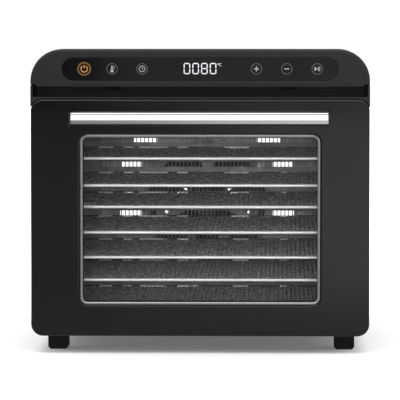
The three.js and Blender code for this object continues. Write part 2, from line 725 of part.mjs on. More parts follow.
// The mains inlet: a flange on the rear cover, and a socket with three pins.
function powerInlet() {
  const bodyHalf = inletWidth / 2 - 2 - gap;
  const bodyRise = inletTall / 2 - 2 - gap;
  const flange = block(-inletWidth / 2, inletWidth / 2, gap, screwHeadHeight, -inletTall / 2, inletTall / 2);
  const body = block(-bodyHalf, bodyHalf, -16, 1, -bodyRise, bodyRise);
  const socket = block(-bodyHalf + 2, bodyHalf - 2, -14, screwHeadHeight + 1, -bodyRise + 2, bodyRise - 2);
  const pins = [[-7, -2], [0, 2], [7, -2]].map(([x, z]) => block(x - 1, x + 1, -15, -5, z - 2, z + 2));
  const made = flange.add(body).subtract(socket).add(joined(pins));
  return piece('power_inlet', made, mattBlack, inletSide, rearCoverBackY, inletZ);
}

// ---- Feet, hinge arms and magnets --------------------------------------------------------------

const frontFootY = shellFrontY + footEndInset;
const rearFootY = shellBackY - footEndInset - footLength;

function foot(name, side, y) {
  const half = footWidth / 2;
  const top = footHeight - gap;
  const profile = polygon([
    [-half + footChamfer, 0], [half - footChamfer, 0], [half, footChamfer], [half, top], [-half, top],
    [-half, footChamfer],
  ]);
  const x = side * (width / 2 - footSideInset - half);
  return piece(name, panel(profile, 0, footLength), rubberBlack, x, y, 0);
}

// A steel arm from the base pan through the front frame, with the door's pin in its nose.
function hingeArmPiece(name, side) {
  const reach = shellFrontY - hingeY;
  const half = hingeArm / 2;
  const floor = floorTopZ + gap - hingeZ;
  const nose = bar('x', hingeNose, -half, half, 0, 0, 24);
  const arm = block(-half, half, 0, reach + hingeTail, -hingeNose, hingeNose);
  const web = block(-half, half, reach + 4, reach + hingeTail, floor, 0);
  const flange = block(-half - 6, half + 6, reach + 4, reach + hingeTail, floor, floor + sheet);
  const hole = bar('x', pinRadius + gap, -hingeArm, hingeArm, 0, 0, 20);
  const made = joined([nose, arm, web, flange]).subtract(hole);
  return piece(name, made, steel, (side * hingeSpan) / 2, hingeY, hingeZ);
}

function magnet(name, side) {
  const made = block(
    -magnetWidth / 2, magnetWidth / 2, gap, magnetDepth, -magnetTall / 2, magnetTall / 2,
  );
  return piece(name, made, galvanised, (side * magnetSpan) / 2, frameFrontY, magnetZ);
}

// ---- Door: its origin is the middle of the face's lower edge -----------------------------------

const glassY = doorSkin + gap;
const strikeZ = magnetZ - doorBottomZ;
const handleZ = doorHeight - handleDrop - handleTall / 2;
const handleHalf = handleLength / 2;

function doorOutline(inset) {
  const half = doorWidth / 2 - inset;
  const lower = baseRadius - doorSideMargin - inset;
  return roundedRect(-half, half, inset, doorHeight - inset, doorTopRadius - inset, lower);
}

function windowOutline(grow) {
  const half = windowWidth / 2 + grow;
  return roundedRect(-half, half, windowSill - grow, windowSill + windowHeight + grow, windowRadius + grow);
}

// What the door loses round its hinge: the lower back edge is rounded about the hinge axis, and a
// pocket at each arm lets the door turn down past it.
function hingeCuts() {
  const edge = block(-width, width, hingeSetback, doorThickness + 1, -1, hingeRise)
    .subtract(bar('x', hingeRise, -width - 1, width + 1, hingeSetback, hingeRise, 64));
  const reach = hingeNose + armClearance;
  const pockets = sides.map(([, side]) => {
    const x = (side * hingeSpan) / 2;
    const half = hingeArm / 2 + armClearance;
    return block(x - half, x + half, hingeSetback - reach, doorThickness + 1, -1, hingeRise + reach);
  });
  return joined([edge, ...pockets]);
}

function doorPanel() {
  const made = panel(doorOutline(0), 0, doorThickness)
    .subtract(panel(doorOutline(wall), doorSkin, doorThickness + 1))
    .subtract(panel(windowOutline(gap), -1, doorSkin + 1))
    .subtract(hingeCuts());
  return piece('door_panel', made, glossBlack);
}

// The frame inside the door's skin, with a rebate for the glass, the pin holes and the strike recesses.
function doorInner() {
  const rebate = panel(windowOutline(glassOverlap + gap), doorSkin, glassY + glassThickness + gap);
  const opening = panel(windowOutline(-trimWidth), doorSkin, doorThickness + 1);
  const cuts = [rebate, opening, hingeCuts()];
  for (const [, side] of sides) {
    const pinX = (side * hingeSpan) / 2;
    const pinHalf = hingeArm / 2 + pinReach + gap;
    cuts.push(bar('x', pinRadius + gap, pinX - pinHalf, pinX + pinHalf, hingeSetback, hingeRise));
    const strikeX = (side * magnetSpan) / 2;
    const strikeHalf = magnetWidth / 2 + 1 + gap;
    const strikeRise = magnetTall / 2 + 1 + gap;
    cuts.push(block(
      strikeX - strikeHalf, strikeX + strikeHalf, doorThickness - strikeThickness - gap, doorThickness + 1,
      strikeZ - strikeRise, strikeZ + strikeRise,
    ));
  }
  const made = panel(doorOutline(wall + gap), doorSkin + gap, doorThickness).subtract(joined(cuts));
  return piece('door_inner', made, mattBlack);
}

function doorGlass() {
  return piece('door_glass', panel(windowOutline(glassOverlap), glassY, glassY + glassThickness), clearGlass);
}

function windowTrim() {
  const made = panel(windowOutline(0), -trimStand, doorSkin)
    .subtract(panel(windowOutline(-trimWidth), -1, doorSkin + 1));
  return piece('window_trim', made, chrome);
}

function handleBar() {
  const half = handleTall / 2;
  const profile = roundedRect(0, handleThick, -half, half, handleThick / 2 - 0.5);
  return piece('handle_bar', rail(profile, -handleHalf, handleHalf), chrome, 0, -handleProjection, handleZ);
}

function handleEnd(name, side) {
  const capRise = handleTall / 2 + 0.7;
  const postRise = handleTall / 2 - 0.5;
  const postFront = handleThick + gap;
  const outer = side * (gap + handleCap);
  const cap = block(side * gap, outer, gap, postFront + 6, -capRise, capRise);
  const post = block(-side * handlePost, outer, postFront, handleProjection - gap, -postRise, postRise);
  return piece(name, cap.add(post), mattBlack, side * handleHalf, -handleProjection, handleZ);
}

function doorSeal() {
  const inner = mouthHalf + sealMargin;
  const outer = inner + sealWidth;
  const low = chamberFloor - doorBottomZ - sealMargin;
  const high = chamberRoof - doorBottomZ + sealMargin;
  const ring = roundedRect(-outer, outer, low - sealWidth, high + sealWidth, sealWidth);
  const hole = rectangle(-inner, inner, low, high);
  const back = doorThickness + sealHeight - gap;
  const made = panel(ring, doorThickness + gap, back).subtract(panel(hole, doorThickness, back + 1));
  return piece('door_seal', made, rubberBlack);
}

function strikePlate(name, side) {
  const half = magnetWidth / 2 + 1;
  const rise = magnetTall / 2 + 1;
  const made = block(-half, half, doorThickness - strikeThickness, doorThickness, -rise, rise);
  return piece(name, made, steel, (side * magnetSpan) / 2, 0, strikeZ);
}

function hingePin(name, side) {
  const half = hingeArm / 2 + pinReach;
  const made = bar('x', pinRadius, -half, half, 0, 0, 16);
  return piece(name, made, steel, (side * hingeSpan) / 2, hingeSetback, hingeRise);
}

function doorAssembly() {
  const door = new THREE.Group();
  door.name = 'door';
  door.position.set(0, doorFrontY, doorBottomZ);
  door.add(doorPanel(), doorInner(), doorGlass(), windowTrim(), handleBar(), doorSeal());
  for (const [label, side] of sides) {
    door.add(handleEnd(`handle_end_${label}`, side));
    door.add(strikePlate(`strike_plate_${label}`, side));
    door.add(hingePin(`hinge_pin_${label}`, side));
  }
  return door;
}

// ---- Assembly ----------------------------------------------------------------------------------

const group = new THREE.Group();
group.name = 'food_dehydrator';
group.add(outerWrap(), basePan(), frontFrame(), controlHead());
group.add(touchPanel(), displayModule(), touchBoard(), powerBoard());
group.add(topLiner(), bottomLiner(), rearWall(), airSensor(), thermalCutout());
group.add(fanShroud(), motorPlate(), motorCan(), heaterRing());
group.add(fanWheel(), motorShaft(), fanNut());
group.add(rearCover(), powerInlet(), doorAssembly());
for (const [label, side] of sides) {
  group.add(sideLiner(`side_liner_${label}`, side));
  group.add(headClip(`head_clip_${label}`, side));
  group.add(heaterClip(`heater_clip_${label}`, side));
  group.add(hingeArmPiece(`hinge_arm_${label}`, side));
  group.add(magnet(`magnet_${label}`, side));
  group.add(foot(`foot_front_${label}`, side, frontFootY));
  group.add(foot(`foot_rear_${label}`, side, rearFootY));
}
for (const [name, x, z] of screwPlaces) group.add(rearScrew(name, x, z));
trayLevels.forEach((level, i) => group.add(tray(`tray_${i + 1}`, level)));

export default group;
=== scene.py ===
"""Cabinet food dehydrator: finished surfaces, trays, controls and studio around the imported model."""

import math

import bmesh
import bpy
from bpy.props import FloatProperty, FloatVectorProperty, IntProperty, PointerProperty, StringProperty
from bpy.types import Operator, Panel, PropertyGroup
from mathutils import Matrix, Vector


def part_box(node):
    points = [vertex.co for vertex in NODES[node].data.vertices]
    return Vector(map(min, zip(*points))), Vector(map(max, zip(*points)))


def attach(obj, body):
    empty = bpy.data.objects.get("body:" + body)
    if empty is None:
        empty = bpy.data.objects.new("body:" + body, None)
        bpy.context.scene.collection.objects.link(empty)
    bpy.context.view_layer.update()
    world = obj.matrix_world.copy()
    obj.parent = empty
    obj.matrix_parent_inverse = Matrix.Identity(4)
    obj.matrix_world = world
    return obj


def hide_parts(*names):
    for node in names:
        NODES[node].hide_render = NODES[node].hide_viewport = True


bl_info = {
    "name": "Food Dehydrator",
    "version": (1, 0, 0),
    "blender": (4, 5, 0),
    "location": "3D View > Sidebar > Dehydrator",
    "description": "Finished surfaces for a cabinet food dehydrator",
    "category": "Object",
}

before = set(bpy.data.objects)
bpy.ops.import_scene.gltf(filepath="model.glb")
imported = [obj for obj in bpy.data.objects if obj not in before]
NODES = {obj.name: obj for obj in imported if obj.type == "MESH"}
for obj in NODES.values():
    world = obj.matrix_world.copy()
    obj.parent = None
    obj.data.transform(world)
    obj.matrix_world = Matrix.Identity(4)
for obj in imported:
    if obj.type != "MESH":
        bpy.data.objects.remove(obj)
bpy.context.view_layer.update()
MM = 0.001


# ---- Sizes and colours a user may change -------------------------------------------------------


def length(name, description, default):
    return FloatProperty(name=name, description=description, default=default, unit="LENGTH", precision=5)


def colour(name, description, default):
    return FloatVectorProperty(
        name=name, description=description, default=default, subtype="COLOR", min=0.0, max=1.0, size=3
    )


class CabinetSettings(PropertyGroup):
    head_radius: length("Head radius", "Upper side corners of the control head", 32.6 * MM)
    head_edge: length("Head edge", "Rounding of the control head's front edge", 2.0 * MM)
    head_step: length("Head step", "Edge of the head to the edge of its face plate", 2.3 * MM)
    top_radius: length("Top radius", "Upper side corners of the cabinet", 29.5 * MM)
    base_radius: length("Base radius", "Lower side corners of the cabinet", 12.5 * MM)
    wall: length("Wall", "Thickness of the mouldings", 2.5 * MM)
    vent_rows: IntProperty(name="Vent rows", description="Rows of rear vents", default=9, min=1)
    vent_top: length("Vent top", "Upper row of rear vents over the table", 202 * MM)
    vent_drop: length("Vent drop", "Spacing of the rows of rear vents", 13.6 * MM)
    vent_pitch: length("Vent pitch", "Spacing of the three columns of rear vents", 86 * MM)
    vent_wide: length("Vent width", "Width of a rear vent", 83 * MM)
    vent_tall: length("Vent height", "Height of a rear vent", 8 * MM)
    moulding_colour: colour("Moulding", "Moulded black of the cabinet", (0.0175, 0.0175, 0.018))


class DoorSettings(PropertyGroup):
    top_radius: length("Top radius", "Upper corners of the door", 12 * MM)
    base_radius: length("Base radius", "Lower corners of the door", 12.3 * MM)
    wall: length("Wall", "Side walls of the door's panel", 2.5 * MM)
    window_radius: length("Window radius", "Corners of the window trim", 7.6 * MM)
    trim_width: length("Trim width", "Width of the bright window trim", 2.9 * MM)
    edge: length("Edge", "Rounding of the door's front edge", 1.5 * MM)
    gloss_colour: colour("Gloss", "Gloss black of the door", (0.0035, 0.0035, 0.0036))


class TraySettings(PropertyGroup):
    rod: length("Rod", "Diameter of the frame rod", 3.1 * MM)
    wire: length("Wire", "Diameter of a mesh wire", 0.8 * MM)
    pitch: length("Pitch", "Spacing of the mesh wires", 4.6 * MM)
    steel_colour: colour("Steel", "Stainless wire", (0.62, 0.625, 0.63))


class ControlSettings(PropertyGroup):
    figures: StringProperty(name="Figures", description="Digits on the display", default="0080")
    digit_tall: length("Digit height", "Height of a display digit", 11.4 * MM)
    digit_wide: length("Digit width", "Width of a display digit", 6.7 * MM)
    digit_pitch: length("Digit pitch", "Spacing of the display digits", 8.9 * MM)
    digit_stroke: length("Digit stroke", "Width of a lit segment", 1.05 * MM)
    level: length("Level", "Middle of the symbols over the table", 291.8 * MM)
    power_side: length("Power side", "Power symbol to the left of the middle", 118.3 * MM)
    ring: length("Ring", "Radius of a symbol's ring", 5.55 * MM)
    lit_white: colour("Lit white", "Lit figures", (0.92, 0.95, 1.0))
    lit_amber: colour("Lit amber", "Lit power symbol", (1.0, 0.45, 0.08))


class SlotSettings(PropertyGroup):
    rows: IntProperty(name="Rows", description="Rows of slots in the rear wall", default=6, min=1)
    top: length("Top row", "Upper row of slots over the table", 207 * MM)
    drop: length("Row spacing", "Spacing of the rows of slots", 27.4 * MM)
    columns: IntProperty(name="Columns", description="Slots in a row of the rear wall", default=54, min=1)
    pitch: length("Pitch", "Spacing of the slots", 4.37 * MM)
    wide: length("Width", "Width of a slot", 3.3 * MM)
    tall: length("Height", "Height of a slot", 5.6 * MM)


class StageSettings(PropertyGroup):
    distance: length("Distance", "Camera to the door's face", 3.453)
    eye: length("Eye height", "Camera over the table", 0.3466)
    aside: length("Aside", "Camera to the right of the middle", 0.08)
    aim: length("Aim", "Height the camera looks at on the door", 0.1578)
    lens: FloatProperty(name="Lens", description="Focal length in millimetres", default=304.5, min=1.0)


# ---- Mesh making ---------------------------------------------------------------------------------


def arc(cx, cz, radius, start, end, steps):
    """Points on an arc, in degrees."""
    turns = [math.radians(start + (end - start) * i / steps) for i in range(steps + 1)]
    return [(cx + radius * math.cos(t), cz + radius * math.sin(t)) for t in turns]


def rounded(x0, x1, z0, z1, upper, lower=None, steps=14):
    """A rectangle with rounded corners as a loop of points."""
    lower = upper if lower is None else lower
    return (
        arc(x1 - lower, z0 + lower, lower, -90, 0, steps)
        + arc(x1 - upper, z1 - upper, upper, 0, 90, steps)
        + arc(x0 + upper, z1 - upper, upper, 90, 180, steps)
        + arc(x0 + lower, z0 + lower, lower, 180, 270, steps)
    )


def circle(cx, cz, radius, steps=48):
    return arc(cx, cz, radius, 0, 360, steps)[:-1]


def smooth(mesh, angle=38):
    mesh.polygons.foreach_set("use_smooth", [True] * len(mesh.polygons))
    mesh.set_sharp_from_angle(angle=math.radians(angle))
    flatten_caps(mesh)


def place(name, mesh, body, finish, stands_for=()):
    """A finished piece on its body."""
    piece = bpy.data.objects.new(name, mesh)
    bpy.context.scene.collection.objects.link(piece)
    parts = [polygon.material_index for polygon in mesh.polygons]
    mesh.materials.clear()
    for one in finish if isinstance(finish, (list, tuple)) else [finish]:
        mesh.materials.append(one)
    if isinstance(finish, (list, tuple)):
        mesh.polygons.foreach_set("material_index", parts)
    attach(piece, body)
    if stands_for:
        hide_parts(*stands_for)
    return piece


def plate_mesh(name, loops, y0, y1, edge=0.0, rounds=3):
    """Closed loops in X and Z filled and drawn out from y0 to y1, with rounded edges."""
    curve = bpy.data.curves.new(name, "CURVE")
    curve.dimensions = "2D"
    curve.fill_mode = "BOTH"
    for loop in loops:
        spline = curve.splines.new("POLY")
        spline.points.add(len(loop) - 1)
        for point, (x, z) in zip(spline.points, loop):
            point.co = (x, z, 0, 1)
        spline.use_cyclic_u = True
    curve.extrude = (y1 - y0) / 2 - edge
    curve.bevel_depth = edge
    curve.bevel_resolution = rounds
    curve.offset = -edge
    shape = bpy.data.objects.new(name, curve)
    bpy.context.scene.collection.objects.link(shape)
    bpy.context.view_layer.update()
    mesh = bpy.data.meshes.new_from_object(shape.evaluated_get(bpy.context.evaluated_depsgraph_get()))
    bpy.data.objects.remove(shape)
    middle = (y0 + y1) / 2
    for vertex in mesh.vertices:
        x, z, depth = vertex.co
        vertex.co = (x, middle - depth, z)
    made = bmesh.new()
    made.from_mesh(mesh)
    bmesh.ops.remove_doubles(made, verts=made.verts, dist=1e-6)
    bmesh.ops.recalc_face_normals(made, faces=made.faces)
    made.to_mesh(mesh)
    made.free()
    mesh.name = name
    smooth(mesh)
    return mesh


def flatten_caps(mesh):
    """Front and back faces keep flat shading right up to their rounded edges."""
    caps = {}
    for polygon in mesh.polygons:
        if abs(polygon.normal.y) > 0.9999:
            for key in polygon.edge_keys:
                caps[key] = caps.get(key, 0) + 1
    for edge in mesh.edges:
        if caps.get(edge.key) == 1:
            edge.use_edge_sharp = True


def joined(name, meshes):
    """Several meshes as one."""
    made = bmesh.new()
    for mesh in meshes:
        made.from_mesh(mesh)
    whole = bpy.data.meshes.new(name)
    made.to_mesh(whole)
    made.free()
    smooth(whole)
    return whole


def carve(mesh, cutter, operation="DIFFERENCE"):
    """The mesh with the cutter taken out of it, or added to it."""
    whole = bpy.data.objects.new("whole", mesh)
    tool = bpy.data.objects.new("tool", cutter)
    for one in (whole, tool):
        bpy.context.scene.collection.objects.link(one)
    cut = whole.modifiers.new("Cut", "BOOLEAN")
    cut.object = tool
    cut.operation = operation
    cut.solver = "EXACT"
    bpy.context.view_layer.update()
    result = bpy.data.meshes.new_from_object(whole.evaluated_get(bpy.context.evaluated_depsgraph_get()))
    for one in (whole, tool):
        bpy.data.objects.remove(one)
    smooth(result)
    return result


def prism(name, profile, x0, x1):
    """A loop of [y, z] points carried from x0 to x1."""
    made = bmesh.new()
    near = [made.verts.new((x0, y, z)) for y, z in profile]
    far = [made.verts.new((x1, y, z)) for y, z in profile]
    count = len(profile)
    for i in range(count):
        j = (i + 1) % count
        made.faces.new((near[i], near[j], far[j], far[i]))
    made.faces.new(near[::-1])
    made.faces.new(far)
    bmesh.ops.recalc_face_normals(made, faces=made.faces)
    mesh = bpy.data.meshes.new(name)
    made.to_mesh(mesh)
    made.free()
    return mesh


def rod(made, start, end, radius, sides=8, domed=False):
    """A round wire between two points, its ends flat or domed."""
    start, end = Vector(start), Vector(end)
    along = (end - start).normalized()
    across = along.orthogonal().normalized()
    up = along.cross(across)
    dome = [(-0.0, 1.0)]
    if domed:
        dome = [(-math.cos(math.radians(a)), math.sin(math.radians(a))) for a in (20, 50, 75)] + [(0.0, 1.0)]
    rings = []
    for base, direction in ((start, 1), (end, -1)):
        ring_set = []
        for back, wide in dome:
            centre = base + along * direction * radius * (back + (1.0 if domed else 0.0))
            ring = []
            for i in range(sides):
                turn = 2 * math.pi * i / sides
                spot = centre + (across * math.cos(turn) + up * math.sin(turn)) * radius * wide
                ring.append(made.verts.new(spot))
            ring_set.append(ring)
        rings.append(ring_set)
    chain = rings[0] + rings[1][::-1]
    for lower, upper in zip(chain, chain[1:]):
        for i in range(sides):
            j = (i + 1) % sides
            made.faces.new((lower[i], lower[j], upper[j], upper[i]))
    made.faces.new(chain[0][::-1])
    made.faces.new(chain[-1])


def rods_mesh(name, wires):
    made = bmesh.new()
    for wire in wires:
        rod(made, *wire)
    bmesh.ops.recalc_face_normals(made, faces=made.faces)
    mesh = bpy.data.meshes.new(name)
    made.to_mesh(mesh)
    made.free()
    smooth(mesh, 50)
    return mesh


def softened(corners, radius, steps=3):
    """A closed loop with each corner rounded over by about the radius."""
    loop = []
    for i, corner in enumerate(corners):
        here = Vector(corner)
        before, after = Vector(corners[i - 1]) - here, Vector(corners[(i + 1) % len(corners)]) - here
        start = here + before.normalized() * min(radius, before.length * 0.45)
        end = here + after.normalized() * min(radius, after.length * 0.45)
        for k in range(steps + 1):
            t = k / steps
            loop.append(tuple(start * (1 - t) ** 2 + here * 2 * t * (1 - t) + end * t * t))
    return loop


def swept_bar(name, profile, x0, x1, edge, rounds=4):
    """A loop of [y, z] points carried from x0 to x1, with its ends rounded over."""
    made = bmesh.new()
    cy = sum(y for y, _ in profile) / len(profile)
    cz = sum(z for _, z in profile) / len(profile)
    stations = []
    for i in range(rounds + 1):
        turn = math.pi / 2 * i / rounds
        stations.append((x0 + edge * (1 - math.sin(turn)), edge * (1 - math.cos(turn))))
    stations = stations[::-1] + [(x0 + x1 - x, inset) for x, inset in stations]
    stations = sorted(stations, key=lambda s: s[0])
    rings = []
    for x, inset in stations:
        ring = []
        for y, z in profile:
            away = Vector((y - cy, z - cz))
            away *= max(0.0, (away.length - inset) / away.length)
            ring.append(made.verts.new((x, cy + away.x, cz + away.y)))
        rings.append(ring)
    count = len(profile)
    for lower, upper in zip(rings, rings[1:]):
        for i in range(count):
            j = (i + 1) % count
            made.faces.new((lower[i], lower[j], upper[j], upper[i]))
    made.faces.new(rings[0][::-1])
    made.faces.new(rings[-1])
    bmesh.ops.recalc_face_normals(made, faces=made.faces)
    mesh = bpy.data.meshes.new(name)
    made.to_mesh(mesh)
    made.free()
    smooth(mesh, 40)
    return mesh


def dress(finish, *names, edge=0.0, angle=38):
    """A CAD node that keeps its shape gets its finish, and a small rounding on its edges."""
    for name in names:
        node = NODES[name]
        node.data.materials.clear()
        node.data.materials.append(finish)
        node.data.polygons.foreach_set("use_smooth", [True] * len(node.data.polygons))
        if edge:
            bevel = node.modifiers.new("Edges", "BEVEL")
            bevel.width = edge
            bevel.segments = 2
            bevel.limit_method = "ANGLE"
            bevel.angle_limit = math.radians(angle)
            bevel.harden_normals = True
        else:
            node.data.set_sharp_from_angle(angle=math.radians(angle))


# ---- Finishes ------------------------------------------------------------------------------------


class Recipe:
    """A material under construction, with short names for the nodes used here."""

    def __init__(self, name):
        self.material = bpy.data.materials.new(name)
        self.material.use_nodes = True
        self.nodes = self.material.node_tree.nodes
        self.links = self.material.node_tree.links
        self.shader = self.nodes["Principled BSDF"]
        self.where = self.nodes.new("ShaderNodeTexCoord").outputs["Object"]

    def set(self, **values):
        for key, value in values.items():
            self.shader.inputs[key.replace("_", " ")].default_value = value
        return self

    def noise(self, scale, detail=4.0, stretch=(1, 1, 1), roughness=0.5):
        mapping = self.nodes.new("ShaderNodeMapping")
        mapping.inputs["Scale"].default_value = stretch
        self.links.new(self.where, mapping.inputs["Vector"])
        noise = self.nodes.new("ShaderNodeTexNoise")
        noise.inputs["Scale"].default_value = scale
        noise.inputs["Detail"].default_value = detail
        noise.inputs["Roughness"].default_value = roughness
        self.links.new(mapping.outputs["Vector"], noise.inputs["Vector"])
        return noise.outputs["Fac"]

    def spread(self, value, low, high, start=0.3, end=0.7):
        """The value mapped from start and end to low and high."""
        ranged = self.nodes.new("ShaderNodeMapRange")
        ranged.inputs["From Min"].default_value = start
        ranged.inputs["From Max"].default_value = end
        ranged.inputs["To Min"].default_value = low
        ranged.inputs["To Max"].default_value = high
        self.links.new(value, ranged.inputs["Value"])
        return ranged.outputs["Result"]

    def tones(self, value, *stops):
        """Colours along the value: (position, colour) pairs."""
        ramp = self.nodes.new("ShaderNodeValToRGB")
        band = ramp.color_ramp
        while len(band.elements) < len(stops):
            band.elements.new(0.5)
        for element, (position, tone) in zip(band.elements, stops):
            element.position = position
            element.color = (*tone, 1.0)
        self.links.new(value, ramp.inputs["Fac"])
        return ramp.outputs["Color"]

    def blend(self, factor, first, second, mode="MIX"):
        mix = self.nodes.new("ShaderNodeMix")
        mix.data_type = "RGBA"
        mix.blend_type = mode
        given = {"Factor": factor, "A": first, "B": second}
        for key, value in given.items():
            socket = mix.inputs[key]
            if isinstance(value, bpy.types.NodeSocket):
                self.links.new(value, socket)
            elif isinstance(value, (tuple, list)):
                socket.default_value = (*value, 1.0)
            else:
                socket.default_value = value
        return mix.outputs["Result"]

    def along(self, axis):
        """Distance along X, Y or Z in the object's own space, in metres."""
        split = self.nodes.new("ShaderNodeSeparateXYZ")
        self.links.new(self.where, split.inputs["Vector"])
        return split.outputs[axis]

    def colour(self, output):
        self.links.new(output, self.shader.inputs["Base Color"])
        return self

    def rough(self, output):
        self.links.new(output, self.shader.inputs["Roughness"])
        return self

    def bump(self, output, strength, distance):
        bump = self.nodes.new("ShaderNodeBump")
        bump.inputs["Strength"].default_value = strength
        bump.inputs["Distance"].default_value = distance
        self.links.new(output, bump.inputs["Height"])
        self.links.new(bump.outputs["Normal"], self.shader.inputs["Normal"])
        return self

    def done(self):
        return self.material


def shade(tone, factor):
    return tuple(min(1.0, c * factor) for c in tone)


def moulded_black(name, tone, low=0.36, high=0.5, grain=900, height=0.00003):
    """Satin moulded plastic: fine spark-eroded grain and a faint unevenness in its sheen."""
    r = Recipe(name).set(IOR=1.47)
    r.colour(r.tones(r.noise(14, 3), (0.3, shade(tone, 0.95)), (0.7, shade(tone, 1.05))))
    middle, spare = (low + high) / 2, (high - low) / 5
    r.rough(r.spread(r.noise(60, 5), middle - spare, middle + spare))
    return r.bump(r.noise(grain, 2), 0.35, height).done()


def gloss_black(name, tone):
    """Polished black plastic with faint handling marks in its gloss."""
    r = Recipe(name).set(IOR=1.5)
    r.colour(r.tones(r.noise(6, 2), (0.35, shade(tone, 0.85)), (0.65, shade(tone, 1.15))))
    r.rough(r.spread(r.noise(22, 6, (1, 1, 0.6), 0.6), 0.05, 0.1))
    return r.bump(r.noise(9, 2), 0.04, 0.0001).done()


def bright_metal(name, tone, grain=(1, 60, 60), low=0.1, high=0.2):
    """Polished metal with a drawn grain along its length."""
    r = Recipe(name).set(Metallic=1.0)
    r.colour(r.tones(r.noise(180, 4, grain), (0.25, shade(tone, 0.9)), (0.75, tone)))
    r.rough(r.spread(r.noise(240, 4, grain), low, high))
    return r.bump(r.noise(420, 2, grain), 0.12, 0.00002).done()


def sheet_steel(name, tone, low=0.3, high=0.5, grain=(1, 1, 30)):
    """Rolled sheet with a fine lengthwise grain and cloudy variation."""
    r = Recipe(name).set(Metallic=1.0)
    r.colour(r.tones(r.noise(9, 5), (0.3, shade(tone, 0.8)), (0.7, shade(tone, 1.08))))
    r.rough(r.spread(r.noise(120, 5, grain), low, high))
    return r.bump(r.noise(300, 3, grain), 0.2, 0.00003).done()


def tray_steel(name, tone):
    """Stainless wire, brighter and smoother in short stretches where it was drawn and welded."""
    r = Recipe(name).set(Metallic=0.5)
    r.colour(r.tones(r.noise(70, 3, (3, 1, 1)), (0.35, shade(tone, 0.5)), (0.65, shade(tone, 1.3))))
    r.rough(r.spread(r.noise(60, 4, (3, 3, 3)), 0.14, 0.34))
    return r.bump(r.noise(700, 2), 0.1, 0.00002).done()


def painted_highlight_rod(name):
    """The front rod of a tray: polished steel with its colour raised to nearly white, a painted highlight.
    """
    r = Recipe(name).set(Metallic=0.3)
    # Painted highlight: near white, much lighter than the same steel in the wires.
    r.colour(r.tones(r.noise(30, 3, (0.4, 1, 1)), (0.3, (0.9, 0.905, 0.91)), (0.7, (0.98, 0.98, 0.985))))
    r.rough(r.spread(r.noise(40, 4, (0.6, 3, 3)), 0.3, 0.42))
    return r.bump(r.noise(600, 2), 0.1, 0.00002).done()


def glint_dashed_rod(name):
    """The rear rod of a tray: painted highlights in bright dashes along it, dull elsewhere."""
    r = Recipe(name).set(Metallic=0.3)
    dull, bright = (0.05, 0.05, 0.052), (0.95, 0.95, 0.96)
    # Painted highlight: the bright dashes stand for glints along the rod.
    r.colour(r.tones(r.noise(42, 1.5, (1, 0.02, 0.02)), (0.5, dull), (0.53, bright)))
    r.rough(r.spread(r.noise(40, 4), 0.3, 0.45))
    return r.bump(r.noise(600, 2), 0.1, 0.00002).done()


def soft_rubber(name, tone):
    r = Recipe(name).set(IOR=1.45)
    r.colour(r.tones(r.noise(50, 4), (0.3, shade(tone, 0.8)), (0.7, shade(tone, 1.25))))
    r.rough(r.spread(r.noise(80, 4), 0.62, 0.85))
    return r.bump(r.noise(1400, 2), 0.4, 0.00004).done()


def circuit_green(name):
    """Solder-masked board with darker tracks."""
    r = Recipe(name).set(IOR=1.5)
    r.colour(r.tones(r.noise(160, 2, (1, 0.15, 1)), (0.45, (0.01, 0.07, 0.025)), (0.5, (0.02, 0.14, 0.05))))
    r.rough(r.spread(r.noise(60, 3), 0.3, 0.5))
    return r.bump(r.noise(300, 2), 0.3, 0.0001).done()


def plain_fitting(name, tone, metallic, low, high):
    """Small fittings: plated, cast or sintered, with a mottled surface."""
    r = Recipe(name).set(Metallic=metallic)
    r.colour(r.tones(r.noise(130, 4), (0.3, shade(tone, 0.75)), (0.7, shade(tone, 1.15))))
    r.rough(r.spread(r.noise(90, 4), low, high))
    return r.bump(r.noise(800, 2), 0.25, 0.00004).done()


def lit_print(name, tone, strength):
    """A lit figure under the touch panel, slightly uneven over its area."""
    r = Recipe(name).set(Emission_Strength=strength, Roughness=0.4)
    glow = r.tones(r.noise(260, 2), (0.2, shade(tone, 0.86)), (0.8, tone))
    r.colour(r.tones(r.noise(260, 2), (0.2, shade(tone, 0.03)), (0.8, shade(tone, 0.05))))
    r.links.new(glow, r.shader.inputs["Emission Color"])
    return r.done()


def window_glass(name):
    """Flat clear glass with a little smoke in it, and faint wipe marks in its reflection."""
    r = Recipe(name).set(IOR=1.45, Alpha=0.2)
    r.colour(r.tones(r.noise(5, 2), (0.3, (0.006, 0.006, 0.006)), (0.7, (0.012, 0.012, 0.012))))
    return r.rough(r.spread(r.noise(12, 5, (1, 1, 0.4)), 0.02, 0.09)).done()


FINISHES = {}


